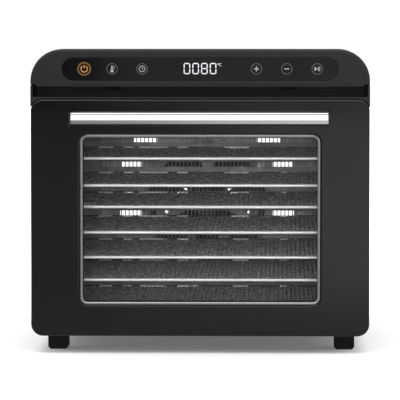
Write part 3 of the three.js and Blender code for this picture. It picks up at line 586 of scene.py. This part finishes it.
def finish(name):
    """The finish of that name, made once."""
    if name not in FINISHES:
        scene = bpy.context.scene
        moulding = tuple(scene.dehydrator_cabinet.moulding_colour)
        gloss = tuple(scene.dehydrator_door.gloss_colour)
        steel = tuple(scene.dehydrator_tray.steel_colour)
        makers = {
            "cabinet black": lambda n: moulded_black(n, moulding),
            "head": lambda n: moulded_black(n, shade(moulding, 0.3), 0.36, 0.46, 1200, 0.00002),
            "dark moulding": lambda n: moulded_black(n, shade(moulding, 0.5), 0.45, 0.6),
            "door gloss": lambda n: gloss_black(n, gloss),
            "touch gloss": touch_gloss,
            "handle": lambda n: bright_metal(n, (0.86, 0.865, 0.87), (1, 80, 80), 0.12, 0.2),
            # A darker copy of the handle metal: painted shade on the bar's underside and in a thin line
            # under its top edge.
            "handle return": lambda n: bright_metal(n, (0.11, 0.11, 0.112), (1, 80, 80), 0.25, 0.35),
            "window trim": lambda n: bright_metal(n, (0.44, 0.444, 0.45), (1, 1, 1), 0.26, 0.36),
            "liner": lambda n: sheet_steel(n, (0.2, 0.202, 0.205)),
            "rear liner": lambda n: plain_fitting(n, (0.12, 0.12, 0.122), 0.3, 0.4, 0.55),
            "bay": lambda n: plain_fitting(n, (0.2, 0.2, 0.2), 0.4, 0.35, 0.55),
            "tray": lambda n: tray_steel(n, steel),
            "rod": painted_highlight_rod,
            "rear rod": glint_dashed_rod,
            "rubber": lambda n: soft_rubber(n, (0.004, 0.004, 0.004)),
            "board": circuit_green,
            "fitting": lambda n: plain_fitting(n, (0.5, 0.5, 0.5), 1.0, 0.25, 0.4),
            "motor": lambda n: plain_fitting(n, (0.36, 0.36, 0.37), 1.0, 0.3, 0.45),
            "heater": lambda n: plain_fitting(n, (0.12, 0.11, 0.1), 0.6, 0.5, 0.7),
            "magnet": lambda n: plain_fitting(n, (0.05, 0.05, 0.052), 0.3, 0.5, 0.7),
            "brass": lambda n: plain_fitting(n, (0.55, 0.36, 0.12), 1.0, 0.25, 0.4),
            "glass": window_glass,
            "lit white": lambda n: lit_print(n, tuple(scene.dehydrator_controls.lit_white), 1.1),
            "lit sign": lambda n: lit_print(n, tuple(scene.dehydrator_controls.lit_white), 0.42),
            "lit grey": lambda n: lit_print(n, (0.3, 0.305, 0.315), 0.55),
            "lit amber": lambda n: lit_print(n, tuple(scene.dehydrator_controls.lit_amber), 0.75),
            "dim amber": lambda n: lit_print(n, (0.2, 0.1, 0.012), 0.8),
        }
        FINISHES[name] = makers[name](name.capitalize())
    return FINISHES[name]


def touch_gloss(name):
    """The touch panel: black glass with a painted reflection: lighter colour to the right of the power
    symbol, darker round it.
    """
    r = Recipe(name).set(IOR=1.5)
    # Painted reflection: the colour runs from darker round the power symbol to lighter along X.
    painted_reflection_fade = r.spread(r.along("X"), 0.0, 1.0, -0.112, -0.098)
    tone = r.tones(painted_reflection_fade, (0.0, (0.0008, 0.0008, 0.0009)), (1.0, (0.004, 0.004, 0.0042)))
    r.colour(r.blend(0.25, tone, r.tones(r.noise(40, 3), (0.3, (0.002,) * 3), (0.7, (0.006,) * 3))))
    r.rough(r.spread(r.noise(18, 5, (1, 1, 0.5)), 0.05, 0.11))
    return r.bump(r.noise(9, 2), 0.05, 0.0001).done()


# ---- Cabinet ---------------------------------------------------------------------------------------


def cabinet_loop(inset=0.0, steps=20):
    s = bpy.context.scene.dehydrator_cabinet
    lo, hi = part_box("outer_wrap")
    return rounded(
        lo.x + inset, hi.x - inset, lo.z + inset, hi.z - inset,
        s.top_radius - inset, s.base_radius - inset, steps,
    )


class DEHYDRATOR_OT_cabinet(Operator):
    """Make the cabinet's wrap, base and feet"""

    bl_idname = "dehydrator.cabinet"
    bl_label = "Cabinet"

    def execute(self, context):
        s = context.scene.dehydrator_cabinet
        lo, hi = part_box("outer_wrap")
        loops = [cabinet_loop(), cabinet_loop(s.wall)[::-1]]
        mesh = plate_mesh("cabinet_wrap", loops, lo.y, hi.y, 0.4 * MM, 2)
        place("cabinet_wrap", mesh, "cabinet", finish("cabinet black"), ["outer_wrap"])
        dress(finish("dark moulding"), "base_pan")
        dress(
            finish("rubber"), "foot_front_left", "foot_front_right", "foot_rear_left", "foot_rear_right",
            edge=0.8 * MM, angle=20,
        )
        return {"FINISHED"}


class DEHYDRATOR_OT_rear_cover(Operator):
    """Make the rear cover with its vents, screws and mains inlet"""

    bl_idname = "dehydrator.rear_cover"
    bl_label = "Rear cover"

    def execute(self, context):
        s = context.scene.dehydrator_cabinet
        lo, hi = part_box("rear_cover")
        inner = hi.y - s.wall
        loops = [cabinet_loop()]
        half, tall = s.vent_wide / 2, s.vent_tall / 2
        for row in range(s.vent_rows):
            z = s.vent_top - row * s.vent_drop
            for column in (-1, 0, 1):
                x = column * s.vent_pitch
                loops.append(rounded(x - half, x + half, z - tall, z + tall, tall * 0.98, steps=6)[::-1])
        ilo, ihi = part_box("power_inlet")
        lip = 2 * MM
        loops.append(rounded(ilo.x + lip, ihi.x - lip, ilo.z + lip, ihi.z - lip, 1 * MM, steps=3)[::-1])
        back = plate_mesh("cover_back", loops, inner, hi.y, 0.8 * MM, 2)
        loops = [cabinet_loop(), cabinet_loop(s.wall)[::-1]]
        rim = plate_mesh("cover_rim", loops, lo.y, hi.y - 1.2 * MM, 0.3 * MM, 1)
        mesh = joined("cover", [back, rim])
        place("cover", mesh, "cabinet", finish("cabinet black"), ["rear_cover"])
        dress(finish("dark moulding"), "power_inlet", edge=0.3 * MM)
        dress(finish("fitting"), *[f"rear_screw_{i}" for i in range(1, 5)], edge=0.2 * MM)
        return {"FINISHED"}


class DEHYDRATOR_OT_front(Operator):
    """Make the control head and the frame round the chamber's mouth"""

    bl_idname = "dehydrator.front"
    bl_label = "Front"

    def execute(self, context):
        s = context.scene.dehydrator_cabinet
        lo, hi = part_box("control_head")
        plo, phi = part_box("touch_panel")
        play = 0.3 * MM
        step, plate_back = s.head_step, lo.y + 2.6 * MM

        def outline(inset):
            return rounded(
                lo.x + inset, hi.x - inset, lo.z + min(inset, 0.4 * MM), hi.z - inset,
                s.head_radius - inset, 1.2 * MM, 24,
            )

        tall = (phi.z - plo.z) / 2 + play
        pill = rounded(plo.x - play, phi.x + play, plo.z - play, phi.z + play, tall - 1e-5, steps=20)[::-1]
        rim = plate_mesh(
            "head_rim", [outline(0), outline(7 * MM)[::-1]], lo.y + 0.2 * MM, lo.y + 9 * MM, s.head_edge, 5
        )
        face = plate_mesh("head_face", [outline(step), pill], lo.y, plate_back, 0.35 * MM, 3)
        core = plate_mesh("head_core", [outline(0)], lo.y + 5 * MM, hi.y, 0.3 * MM, 2)
        bed = plate_mesh("head_bed", [outline(5 * MM)], plate_back - 0.4 * MM, lo.y + 6 * MM)
        mesh = joined("head", [rim, face, core, bed])
        place("head", mesh, "cabinet", finish("head"), ["control_head"])
        dress(finish("head"), "front_frame", edge=0.5 * MM)
        dress(finish("rubber"), "head_clip_left", "head_clip_right", edge=0.5 * MM)
        dress(finish("magnet"), "magnet_left", "magnet_right", edge=0.4 * MM)
        return {"FINISHED"}


# ---- Controls --------------------------------------------------------------------------------------

SEGMENTS = {
    "0": "abcdef", "1": "bc", "2": "abged", "3": "abgcd", "4": "fgbc",
    "5": "afgcd", "6": "afgedc", "7": "abc", "8": "abcdefg", "9": "abcdfg",
}


def bar_loop(x0, z0, x1, z1, width):
    """A stroke with pointed ends between two points, as a loop."""
    along = Vector((x1 - x0, z1 - z0))
    unit = along.normalized()
    side = Vector((-unit.y, unit.x)) * width / 2
    tip = unit * width / 2
    a, b = Vector((x0, z0)), Vector((x1, z1))
    return [tuple(p) for p in (a, a + tip - side, b - tip - side, b, b - tip + side, a + tip + side)]


def digit_loops(x, z, wide, tall, segments, stroke):
    """The lit segments of one figure, about its middle."""
    half, rise, slit = wide / 2 - stroke / 2, tall / 2 - stroke / 2, stroke * 0.22
    ends = {
        "a": (-half, rise, half, rise), "b": (half, rise, half, 0), "c": (half, 0, half, -rise),
        "d": (-half, -rise, half, -rise), "e": (-half, 0, -half, -rise), "f": (-half, rise, -half, 0),
        "g": (-half, 0, half, 0),
    }
    loops = []
    for letter in segments:
        x0, z0, x1, z1 = ends[letter]
        unit = Vector((x1 - x0, z1 - z0)).normalized() * slit
        loops.append(bar_loop(x + x0 + unit.x, z + z0 + unit.y, x + x1 - unit.x, z + z1 - unit.y, stroke))
    return loops


def ring_loops(x, z, radius, stroke):
    return [circle(x, z, radius), circle(x, z, radius - stroke)[::-1]]


def stroke_loop(points, width):
    """An open line given a width."""
    left, right = [], []
    for i, (x, z) in enumerate(points):
        before = Vector(points[max(0, i - 1)])
        after = Vector(points[min(len(points) - 1, i + 1)])
        unit = (after - before).normalized()
        side = Vector((-unit.y, unit.x)) * width / 2
        left.append((x + side.x, z + side.y))
        right.append((x - side.x, z - side.y))
    return right + left[::-1]


def power_sign(x, z, r):
    stroke = r * 0.24
    bow = stroke_loop(arc(x, z, r - stroke / 2, 125, 415, 30), stroke)
    mast = rounded(x - stroke / 2, x + stroke / 2, z + r * 0.15, z + r * 1.08, stroke * 0.3, steps=3)
    return [bow, mast]


def thermometer_sign(x, z, r):
    bulb = r * 0.3
    stem = rounded(x - r * 0.13, x + r * 0.13, z - r * 0.2, z + r * 0.62, r * 0.12, steps=5)
    near, far, corner = x + r * 0.26, x + r * 0.52, r * 0.03
    ticks = [rounded(near, far, z + r * h, z + r * (h + 0.1), corner, steps=2) for h in (0.05, 0.33)]
    return [circle(x, z - r * 0.36, bulb, 20), stem, *ticks]


def clock_sign(x, z, r):
    rim = ring_loops(x, z, r * 0.58, r * 0.12)
    hands = stroke_loop([(x, z + r * 0.36), (x, z), (x + r * 0.26, z - r * 0.1)], r * 0.11)
    return [*rim, hands]


def plus_sign(x, z, r):
    t, s = r * 0.1, r * 0.46
    return [[(x - s, z - t), (x - t, z - t), (x - t, z - s), (x + t, z - s), (x + t, z - t), (x + s, z - t),
             (x + s, z + t), (x + t, z + t), (x + t, z + s), (x - t, z + s), (x - t, z + t), (x - s, z + t)]]


def minus_sign(x, z, r):
    return [rounded(x - r * 0.46, x + r * 0.46, z - r * 0.1, z + r * 0.1, r * 0.03, steps=2)]


def play_sign(x, z, r):
    wedge = [(x - r * 0.5, z - r * 0.4), (x + r * 0.1, z), (x - r * 0.5, z + r * 0.4)]
    low, high, corner = z - r * 0.4, z + r * 0.4, r * 0.03
    bars = [rounded(x + r * a, x + r * (a + 0.14), low, high, corner, steps=2) for a in (0.17, 0.4)]
    return [wedge, *bars]


class DEHYDRATOR_OT_controls(Operator):
    """Make the touch panel with its lit symbols and figures"""

    bl_idname = "dehydrator.controls"
    bl_label = "Controls"

    def execute(self, context):
        s = context.scene.dehydrator_controls
        lo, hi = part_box("touch_panel")
        tall = (hi.z - lo.z) / 2
        pill = rounded(lo.x, hi.x, lo.z, hi.z, tall - 1e-5, steps=22)
        glass = plate_mesh("touch_glass", [pill], lo.y, hi.y, 0.35 * MM, 3)
        place("touch_glass", glass, "cabinet", finish("touch gloss"), ["touch_panel"])
        level = s.level
        front, back = lo.y - 0.05 * MM, lo.y + 0.1 * MM
        r = s.ring
        white, shown, grey = [], [], []
        signs = (
            (-89.9, thermometer_sign), (-59.1, clock_sign), (57.6, plus_sign), (88.5, minus_sign),
            (119.5, play_sign),
        )
        for side, sign in signs:
            x = side * MM
            grey += ring_loops(x, level, r, 0.42 * MM)
            shown += sign(x, level, r)
        start = -(len(s.figures) - 1) / 2 * s.digit_pitch
        for i, figure in enumerate(s.figures):
            x = start + i * s.digit_pitch
            lit = SEGMENTS[figure]
            white += digit_loops(x, level + 0.3 * MM, s.digit_wide, s.digit_tall, lit, s.digit_stroke)
        edge = start + (len(s.figures) - 1) * s.digit_pitch + s.digit_wide / 2
        white += ring_loops(edge + 1.9 * MM, level + 5.0 * MM, 0.75 * MM, 0.35 * MM)
        white.append(stroke_loop(arc(edge + 4.2 * MM, level + 4.2 * MM, 1.25 * MM, 50, 310, 16), 0.42 * MM))
        amber = power_sign(-s.power_side, level, 3.7 * MM)
        halo = ring_loops(-s.power_side, level, 7.1 * MM, 1.7 * MM)
        for name, loops, look in (
            ("lit_figures", white, "lit white"),
            ("lit_signs", shown, "lit sign"),
            ("lit_rings", grey, "lit grey"),
            ("power_symbol", amber, "lit amber"),
            ("power_halo", halo, "dim amber"),
        ):
            mesh = plate_mesh(name, loops, front, back)
            place(name, mesh, "cabinet", finish(look))
        dress(finish("dark moulding"), "display_module")
        dress(finish("board"), "touch_board", "power_board")
        return {"FINISHED"}


# ---- Door --------------------------------------------------------------------------------------------


def door_loop(inset=0.0, steps=16):
    s = bpy.context.scene.dehydrator_door
    lo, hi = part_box("door_panel")
    return rounded(
        lo.x + inset, hi.x - inset, lo.z + inset, hi.z - inset,
        s.top_radius - inset, s.base_radius - inset, steps,
    )


def window_loop(grow=0.0, steps=14):
    s = bpy.context.scene.dehydrator_door
    lo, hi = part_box("window_trim")
    return rounded(lo.x - grow, hi.x + grow, lo.z - grow, hi.z + grow, s.window_radius + grow, steps=steps)


def hinge_room(lo, hi):
    """What the door's walls lose round the hinge: the lower back edge, and a pocket at each arm."""
    pin_lo, pin_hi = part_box("hinge_pin_left")
    y, z = (pin_lo.y + pin_hi.y) / 2, (pin_lo.z + pin_hi.z) / 2
    radius = z - lo.z
    past = 1 * MM
    edge = [(y + radius * math.cos(t), z + radius * math.sin(t)) for t in
            (math.radians(-90 + 90 * i / 16) for i in range(17))]
    edge += [(hi.y + past, z), (hi.y + past, lo.z - past), (y, lo.z - past)]
    parts = [prism("edge", edge, lo.x - past, hi.x + past)]
    for name in ("hinge_arm_left", "hinge_arm_right"):
        arm_lo, arm_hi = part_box(name)
        middle, half, reach = (arm_lo.x + arm_hi.x) / 2, 3.5 * MM, 5 * MM
        front, back, low, high = y - reach, hi.y + 2 * past, lo.z - 2 * past, z + reach
        pocket = [(front, low), (back, low), (back, high), (front, high)]
        parts.append(prism("pocket", pocket, middle - half, middle + half))
    whole = parts[0]
    for part in parts[1:]:
        whole = carve(whole, part, "UNION")
    return whole


class DEHYDRATOR_OT_door(Operator):
    """Make the door's gloss panel, window trim and glass"""

    bl_idname = "dehydrator.door"
    bl_label = "Door"

    def execute(self, context):
        s = context.scene.dehydrator_door
        lo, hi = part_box("door_panel")
        play = 0.3 * MM
        loops = [door_loop(), window_loop(play)[::-1]]
        face = plate_mesh("door_front", loops, lo.y, lo.y + 3 * MM + s.edge, s.edge, 5)
        walls = plate_mesh("door_walls", [door_loop(), door_loop(s.wall)[::-1]], lo.y + s.edge, hi.y, 0.0)
        mesh = carve(joined("door_whole", [walls]), hinge_room(lo, hi))
        whole = joined("door_face", [face, mesh])
        place("door_face", whole, "door", finish("door gloss"), ["door_panel"])
        tlo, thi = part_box("window_trim")
        loops = [window_loop(), window_loop(-s.trim_width)[::-1]]
        trim = plate_mesh("trim", loops, tlo.y, thi.y, 1.1 * MM, 4)
        place("trim", trim, "door", finish("window trim"), ["window_trim"])
        glo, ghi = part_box("door_glass")
        pane = plate_mesh("pane", [window_loop(5.5 * MM)], glo.y, ghi.y, 0.3 * MM, 1)
        place("pane", pane, "door", finish("glass"), ["door_glass"])
        dress(finish("dark moulding"), "door_inner", edge=0.4 * MM)
        dress(finish("rubber"), "door_seal", edge=0.3 * MM)
        dress(finish("fitting"), "strike_plate_left", "strike_plate_right")
        dress(finish("fitting"), "hinge_pin_left", "hinge_pin_right")
        dress(finish("fitting"), "hinge_arm_left", "hinge_arm_right", edge=0.3 * MM)
        return {"FINISHED"}


class DEHYDRATOR_OT_handle(Operator):
    """Make the bar handle and its ends"""

    bl_idname = "dehydrator.handle"
    bl_label = "Handle"

    def execute(self, context):
        lo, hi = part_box("handle_bar")
        tall, deep = hi.z - lo.z, hi.y - lo.y
        corners = [
            (0.0, 0.17), (0.0, 0.44), (0.13, 0.85), (0.15, 0.92), (0.22, 1.0), (0.8, 1.0),
            (1.0, 0.86), (1.0, 0.14), (0.8, 0.0), (0.26, 0.0), (0.09, 0.05),
        ]
        profile = softened([(lo.y + deep * y, lo.z + tall * z) for y, z in corners], 0.35 * MM)
        mesh = swept_bar("handle", profile, lo.x, hi.x, 0.4 * MM)
        # Polygons low on the bar and in a thin band under its top edge take the darker metal: painted shade.
        for polygon in mesh.polygons:
            level = (polygon.center.z - lo.z) / tall
            polygon.material_index = int(level < 0.16 or 0.855 < level < 0.92)
        looks = [finish("handle"), finish("handle return")]
        place("handle", mesh, "door", looks, ["handle_bar"])
        dress(finish("dark moulding"), "handle_end_left", "handle_end_right", edge=0.5 * MM)
        return {"FINISHED"}


# ---- Trays -------------------------------------------------------------------------------------------


def tray_mesh(name, lo, hi):
    """One tray: a round frame rod, and wire mesh laid crosswise in it."""
    s = bpy.context.scene.dehydrator_tray
    r, w = s.rod / 2, s.wire / 2
    z = (lo.z + hi.z) / 2
    x0, x1, y0, y1 = lo.x + r, hi.x - r, lo.y + r, hi.y - r
    frame_rods = [
        ((lo.x + 2 * MM, y0, z), (hi.x - 2 * MM, y0, z), r, 14, True),
        ((x0, y0 + r, z), (x0, y1 - r, z), r * 0.85, 10, True),
        ((x1, y0 + r, z), (x1, y1 - r, z), r * 0.85, 10, True),
        ((lo.x + 2 * MM, y1, z), (hi.x - 2 * MM, y1, z), r * 0.8, 12, True),
    ]
    mesh_wires = []
    count = round((x1 - x0) / s.pitch)
    for i in range(1, count):
        x = x0 + (x1 - x0) * i / count
        mesh_wires.append(((x, y0, z + w), (x, y1, z + w), w, 6, False))
    count = round((y1 - y0) / s.pitch)
    for i in range(1, count):
        y = y0 + (y1 - y0) * i / count
        mesh_wires.append(((x0, y, z - w), (x1, y, z - w), w, 6, False))
    stays = []
    for i in (1, 2, 3):
        x = x0 + (x1 - x0) * i / 4
        stays.append(((x, y0, z - w - 0.9 * MM), (x, y1, z - w - 0.9 * MM), 0.6 * MM, 8, False))
    parts = [rods_mesh(name + "_front", frame_rods[:1]), rods_mesh(name + "_rear", frame_rods[3:])]
    parts.append(rods_mesh(name + "_wires", frame_rods[1:3] + mesh_wires + stays))
    whole = joined(name, parts)
    ends = [len(parts[0].polygons), len(parts[0].polygons) + len(parts[1].polygons)]
    for polygon in whole.polygons:
        polygon.material_index = sum(polygon.index >= end for end in ends)
    return whole


class DEHYDRATOR_OT_trays(Operator):
    """Make the seven wire trays"""

    bl_idname = "dehydrator.trays"
    bl_label = "Trays"

    def execute(self, context):
        for i in range(1, 8):
            lo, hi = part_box(f"tray_{i}")
            mesh = tray_mesh(f"mesh_tray_{i}", lo, hi)
            looks = [finish("rod"), finish("rear rod"), finish("tray")]
            tray = place(f"mesh_tray_{i}", mesh, f"tray_{i}", looks, [f"tray_{i}"])
            bpy.data.collections["Lit through the window"].objects.link(tray)
        return {"FINISHED"}


# ---- Chamber and fan -----------------------------------------------------------------------------------


class DEHYDRATOR_OT_chamber(Operator):
    """Make the chamber's liners and its slotted rear wall"""

    bl_idname = "dehydrator.chamber"
    bl_label = "Chamber"

    def execute(self, context):
        s = context.scene.dehydrator_slots
        dress(finish("liner"), "side_liner_left", "side_liner_right", "top_liner", "bottom_liner")
        dress(finish("fitting"), "air_sensor", "thermal_cutout")
        lo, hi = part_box("rear_wall")
        loops = [rounded(lo.x, hi.x, lo.z, hi.z, 1 * MM, steps=2)]
        half, rise = s.wide / 2, s.tall / 2
        for row in range(s.rows):
            z = s.top - row * s.drop
            for column in range(s.columns):
                x = (column - (s.columns - 1) / 2) * s.pitch
                loops.append(rounded(x - half, x + half, z - rise, z + rise, 0.5 * MM, steps=2)[::-1])
        wall = plate_mesh("slotted_wall", loops, lo.y, hi.y)
        back = place("slotted_wall", wall, "cabinet", finish("rear liner"), ["rear_wall"])
        bpy.data.collections["Lit through the window"].objects.link(back)
        return {"FINISHED"}


class DEHYDRATOR_OT_fan(Operator):
    """Make the fan, its shroud, the motor and the heater"""

    bl_idname = "dehydrator.fan"
    bl_label = "Fan and heater"

    def execute(self, context):
        dress(finish("bay"), "fan_shroud", edge=0.2 * MM, angle=50)
        for name in ("fan_shroud", "motor_plate", "fan_wheel"):
            bpy.data.collections["Lit through the window"].objects.link(NODES[name])
        dress(finish("bay"), "motor_plate", edge=0.2 * MM)
        dress(finish("motor"), "motor", "motor_shaft", angle=30)
        dress(finish("heater"), "heater_ring", angle=60)
        dress(finish("fitting"), "heater_clip_left", "heater_clip_right", edge=0.3 * MM)
        dress(finish("brass"), "fan_nut", edge=0.2 * MM)
        dress(finish("dark moulding"), "fan_wheel", edge=0.3 * MM)
        return {"FINISHED"}


# ---- Stage ---------------------------------------------------------------------------------------------


def area_light(name, at, aim, wide, tall, power, tone=(1, 1, 1)):
    lamp = bpy.data.lights.new(name, "AREA")
    lamp.shape = "RECTANGLE"
    lamp.size = wide
    lamp.size_y = tall
    lamp.energy = power
    lamp.color = tone
    holder = bpy.data.objects.new(name, lamp)
    holder.location = at
    holder.rotation_euler = (Vector(aim) - Vector(at)).to_track_quat("-Z", "Y").to_euler()
    bpy.context.scene.collection.objects.link(holder)
    return holder


def floor_sweep(r):
    """The floor glows a little: faintly under the object, so its shadow stays soft, and white far off."""
    moved = r.nodes.new("ShaderNodeMapping")
    moved.inputs["Location"].default_value = (0.0, 0.1, 0.0)
    r.links.new(r.where, moved.inputs["Vector"])
    away = r.nodes.new("ShaderNodeVectorMath")
    away.operation = "LENGTH"
    r.links.new(moved.outputs["Vector"], away.inputs[0])
    reach = r.spread(away.outputs["Value"], 0.0, 1.0, 0.0, 1.6)
    glow = r.tones(reach, (0.1, (0.12,) * 3), (0.2, (0.22,) * 3), (0.6, (1.0,) * 3))
    r.links.new(glow, r.shader.inputs["Emission Color"])
    r.shader.inputs["Emission Strength"].default_value = 1.0


def reflected_floor(r):
    """What polished faces see of the floor: a soft grey, lighter to the right of a card's edge."""
    x, y = r.along("X"), r.along("Y")
    lean = r.nodes.new("ShaderNodeMath")
    lean.operation = "MULTIPLY_ADD"
    lean.inputs[1].default_value = -0.0155
    r.links.new(y, lean.inputs[0])
    r.links.new(x, lean.inputs[2])
    card = r.tones(
        r.spread(lean.outputs["Value"], 0.0, 1.0, -0.6, 0.6),
        (0.0, (0.22,) * 3),
        (0.418, (0.27,) * 3),
        (0.424, (0.48,) * 3),
        (0.5, (0.58,) * 3),
        (0.66, (0.88,) * 3),
    )
    near = r.spread(y, 0.0, 1.0, -1.3, -0.25)
    glow = r.nodes.new("ShaderNodeEmission")
    r.links.new(r.blend(near, card, (0.36, 0.36, 0.36)), glow.inputs["Color"])
    path = r.nodes.new("ShaderNodeLightPath")
    mix = r.nodes.new("ShaderNodeMixShader")
    r.links.new(path.outputs["Is Glossy Ray"], mix.inputs["Fac"])
    r.links.new(r.shader.outputs["BSDF"], mix.inputs[1])
    r.links.new(glow.outputs["Emission"], mix.inputs[2])
    r.links.new(mix.outputs["Shader"], r.nodes["Material Output"].inputs["Surface"])


def studio_world(scene):
    """White behind the object and as soft fill; polished faces see a dimmer room."""
    world = bpy.data.worlds.new("Studio")
    world.use_nodes = True
    scene.world = world
    nodes, links = world.node_tree.nodes, world.node_tree.links
    fill = nodes["Background"]
    fill.inputs["Color"].default_value = (1, 1, 1, 1)
    fill.inputs["Strength"].default_value = 1.1
    room = nodes.new("ShaderNodeBackground")
    split = nodes.new("ShaderNodeSeparateXYZ")
    links.new(nodes.new("ShaderNodeTexCoord").outputs["Generated"], split.inputs["Vector"])
    right = nodes.new("ShaderNodeMapRange")
    right.inputs["From Min"].default_value, right.inputs["From Max"].default_value = -0.058, -0.046
    links.new(split.outputs["X"], right.inputs["Value"])
    level = nodes.new("ShaderNodeMath")
    level.operation = "ABSOLUTE"
    links.new(split.outputs["Z"], level.inputs[0])
    high = nodes.new("ShaderNodeMapRange")
    high.inputs["From Min"].default_value, high.inputs["From Max"].default_value = 0.03, 0.08
    links.new(level.outputs["Value"], high.inputs["Value"])
    open_part = nodes.new("ShaderNodeMath")
    open_part.operation = "MAXIMUM"
    links.new(right.outputs["Result"], open_part.inputs[0])
    links.new(high.outputs["Result"], open_part.inputs[1])
    links.new(open_part.outputs["Value"], room.inputs["Strength"])
    ramp = nodes.new("ShaderNodeValToRGB")
    band = ramp.color_ramp
    band.elements[0].position, band.elements[0].color = 0.0, (0.32, 0.32, 0.32, 1)
    band.elements[1].position, band.elements[1].color = 0.75, (0.8, 0.8, 0.8, 1)
    links.new(split.outputs["Z"], ramp.inputs["Fac"])
    links.new(ramp.outputs["Color"], room.inputs["Color"])
    path = nodes.new("ShaderNodeLightPath")
    mix = nodes.new("ShaderNodeMixShader")
    links.new(path.outputs["Is Glossy Ray"], mix.inputs["Fac"])
    links.new(fill.outputs["Background"], mix.inputs[1])
    links.new(room.outputs["Background"], mix.inputs[2])
    links.new(mix.outputs["Shader"], nodes["World Output"].inputs["Surface"])


class DEHYDRATOR_OT_stage(Operator):
    """Make the pale floor, the studio light and the camera"""

    bl_idname = "dehydrator.stage"
    bl_label = "Stage"

    def execute(self, context):
        scene = context.scene
        s = scene.dehydrator_stage
        scene.view_settings.view_transform = "Standard"
        made = bmesh.new()
        bmesh.ops.create_grid(made, x_segments=8, y_segments=8, size=9.0)
        mesh = bpy.data.meshes.new("floor")
        made.to_mesh(mesh)
        made.free()
        floor = bpy.data.objects.new("floor", mesh)
        scene.collection.objects.link(floor)
        r = Recipe("Pale floor").set(Roughness=0.7)
        r.colour(r.tones(r.noise(2, 2), (0.3, (0.86, 0.86, 0.86)), (0.7, (0.88, 0.88, 0.88))))
        floor_sweep(r)
        reflected_floor(r)
        mesh.materials.append(r.done())
        studio_world(scene)
        area_light("Overhead", (0, -0.2, 2.6), (0, 0, 0), 3.0, 3.0, 40)
        area_light("Front", (0, -3.1, 2.0), (0, -0.2, 0.4), 3.2, 2.4, 26)
        window = area_light("Window light", (0, -3.6, 0.36), (0, -0.1, 0.15), 1.8, 0.2, 100)
        window.light_linking.receiver_collection = bpy.data.collections.new("Lit through the window")
        area_light("Left", (-2.6, -0.6, 1.1), (0, 0, 0.15), 1.0, 1.8, 10)
        area_light("Right", (2.6, -0.6, 1.1), (0, 0, 0.15), 1.0, 1.8, 10)

        lens = bpy.data.cameras.new("Camera")
        lens.lens = s.lens
        lens.sensor_width = 36
        camera = bpy.data.objects.new("Camera", lens)
        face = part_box("door_panel")[0].y
        camera.location = (s.aside, face - s.distance, s.eye)
        look = Vector((0, face, s.aim)) - camera.location
        camera.rotation_euler = look.to_track_quat("-Z", "Y").to_euler()
        lens.clip_end = 50
        scene.collection.objects.link(camera)
        scene.camera = camera
        return {"FINISHED"}


# ---- Sidebar and registration -----------------------------------------------------------------------

OPERATORS = (
    DEHYDRATOR_OT_stage,
    DEHYDRATOR_OT_cabinet,
    DEHYDRATOR_OT_rear_cover,
    DEHYDRATOR_OT_front,
    DEHYDRATOR_OT_controls,
    DEHYDRATOR_OT_door,
    DEHYDRATOR_OT_handle,
    DEHYDRATOR_OT_trays,
    DEHYDRATOR_OT_chamber,
    DEHYDRATOR_OT_fan,
)

SETTINGS = {
    "dehydrator_cabinet": CabinetSettings,
    "dehydrator_door": DoorSettings,
    "dehydrator_tray": TraySettings,
    "dehydrator_controls": ControlSettings,
    "dehydrator_slots": SlotSettings,
    "dehydrator_stage": StageSettings,
}


class DEHYDRATOR_PT_pieces(Panel):
    """The pieces of the dehydrator and their sizes"""

    bl_idname = "DEHYDRATOR_PT_pieces"
    bl_label = "Food dehydrator"
    bl_space_type = "VIEW_3D"
    bl_region_type = "UI"
    bl_category = "Dehydrator"

    def draw(self, context):
        for operator in OPERATORS:
            self.layout.operator(operator.bl_idname)
        for name, group in SETTINGS.items():
            box = self.layout.box()
            box.label(text=group.__name__.replace("Settings", ""))
            for key in group.__annotations__:
                box.prop(getattr(context.scene, name), key)


CLASSES = (*SETTINGS.values(), *OPERATORS, DEHYDRATOR_PT_pieces)


def register():
    for one in CLASSES:
        bpy.utils.register_class(one)
    for name, group in SETTINGS.items():
        setattr(bpy.types.Scene, name, PointerProperty(type=group))


def unregister():
    for name in SETTINGS:
        delattr(bpy.types.Scene, name)
    for one in reversed(CLASSES):
        bpy.utils.unregister_class(one)


def main():
    register()
    bpy.ops.dehydrator.stage()
    bpy.ops.dehydrator.cabinet()
    bpy.ops.dehydrator.rear_cover()
    bpy.ops.dehydrator.front()
    bpy.ops.dehydrator.controls()
    bpy.ops.dehydrator.door()
    bpy.ops.dehydrator.handle()
    bpy.ops.dehydrator.trays()
    bpy.ops.dehydrator.chamber()
    bpy.ops.dehydrator.fan()


if __name__ == "__main__":
    main()
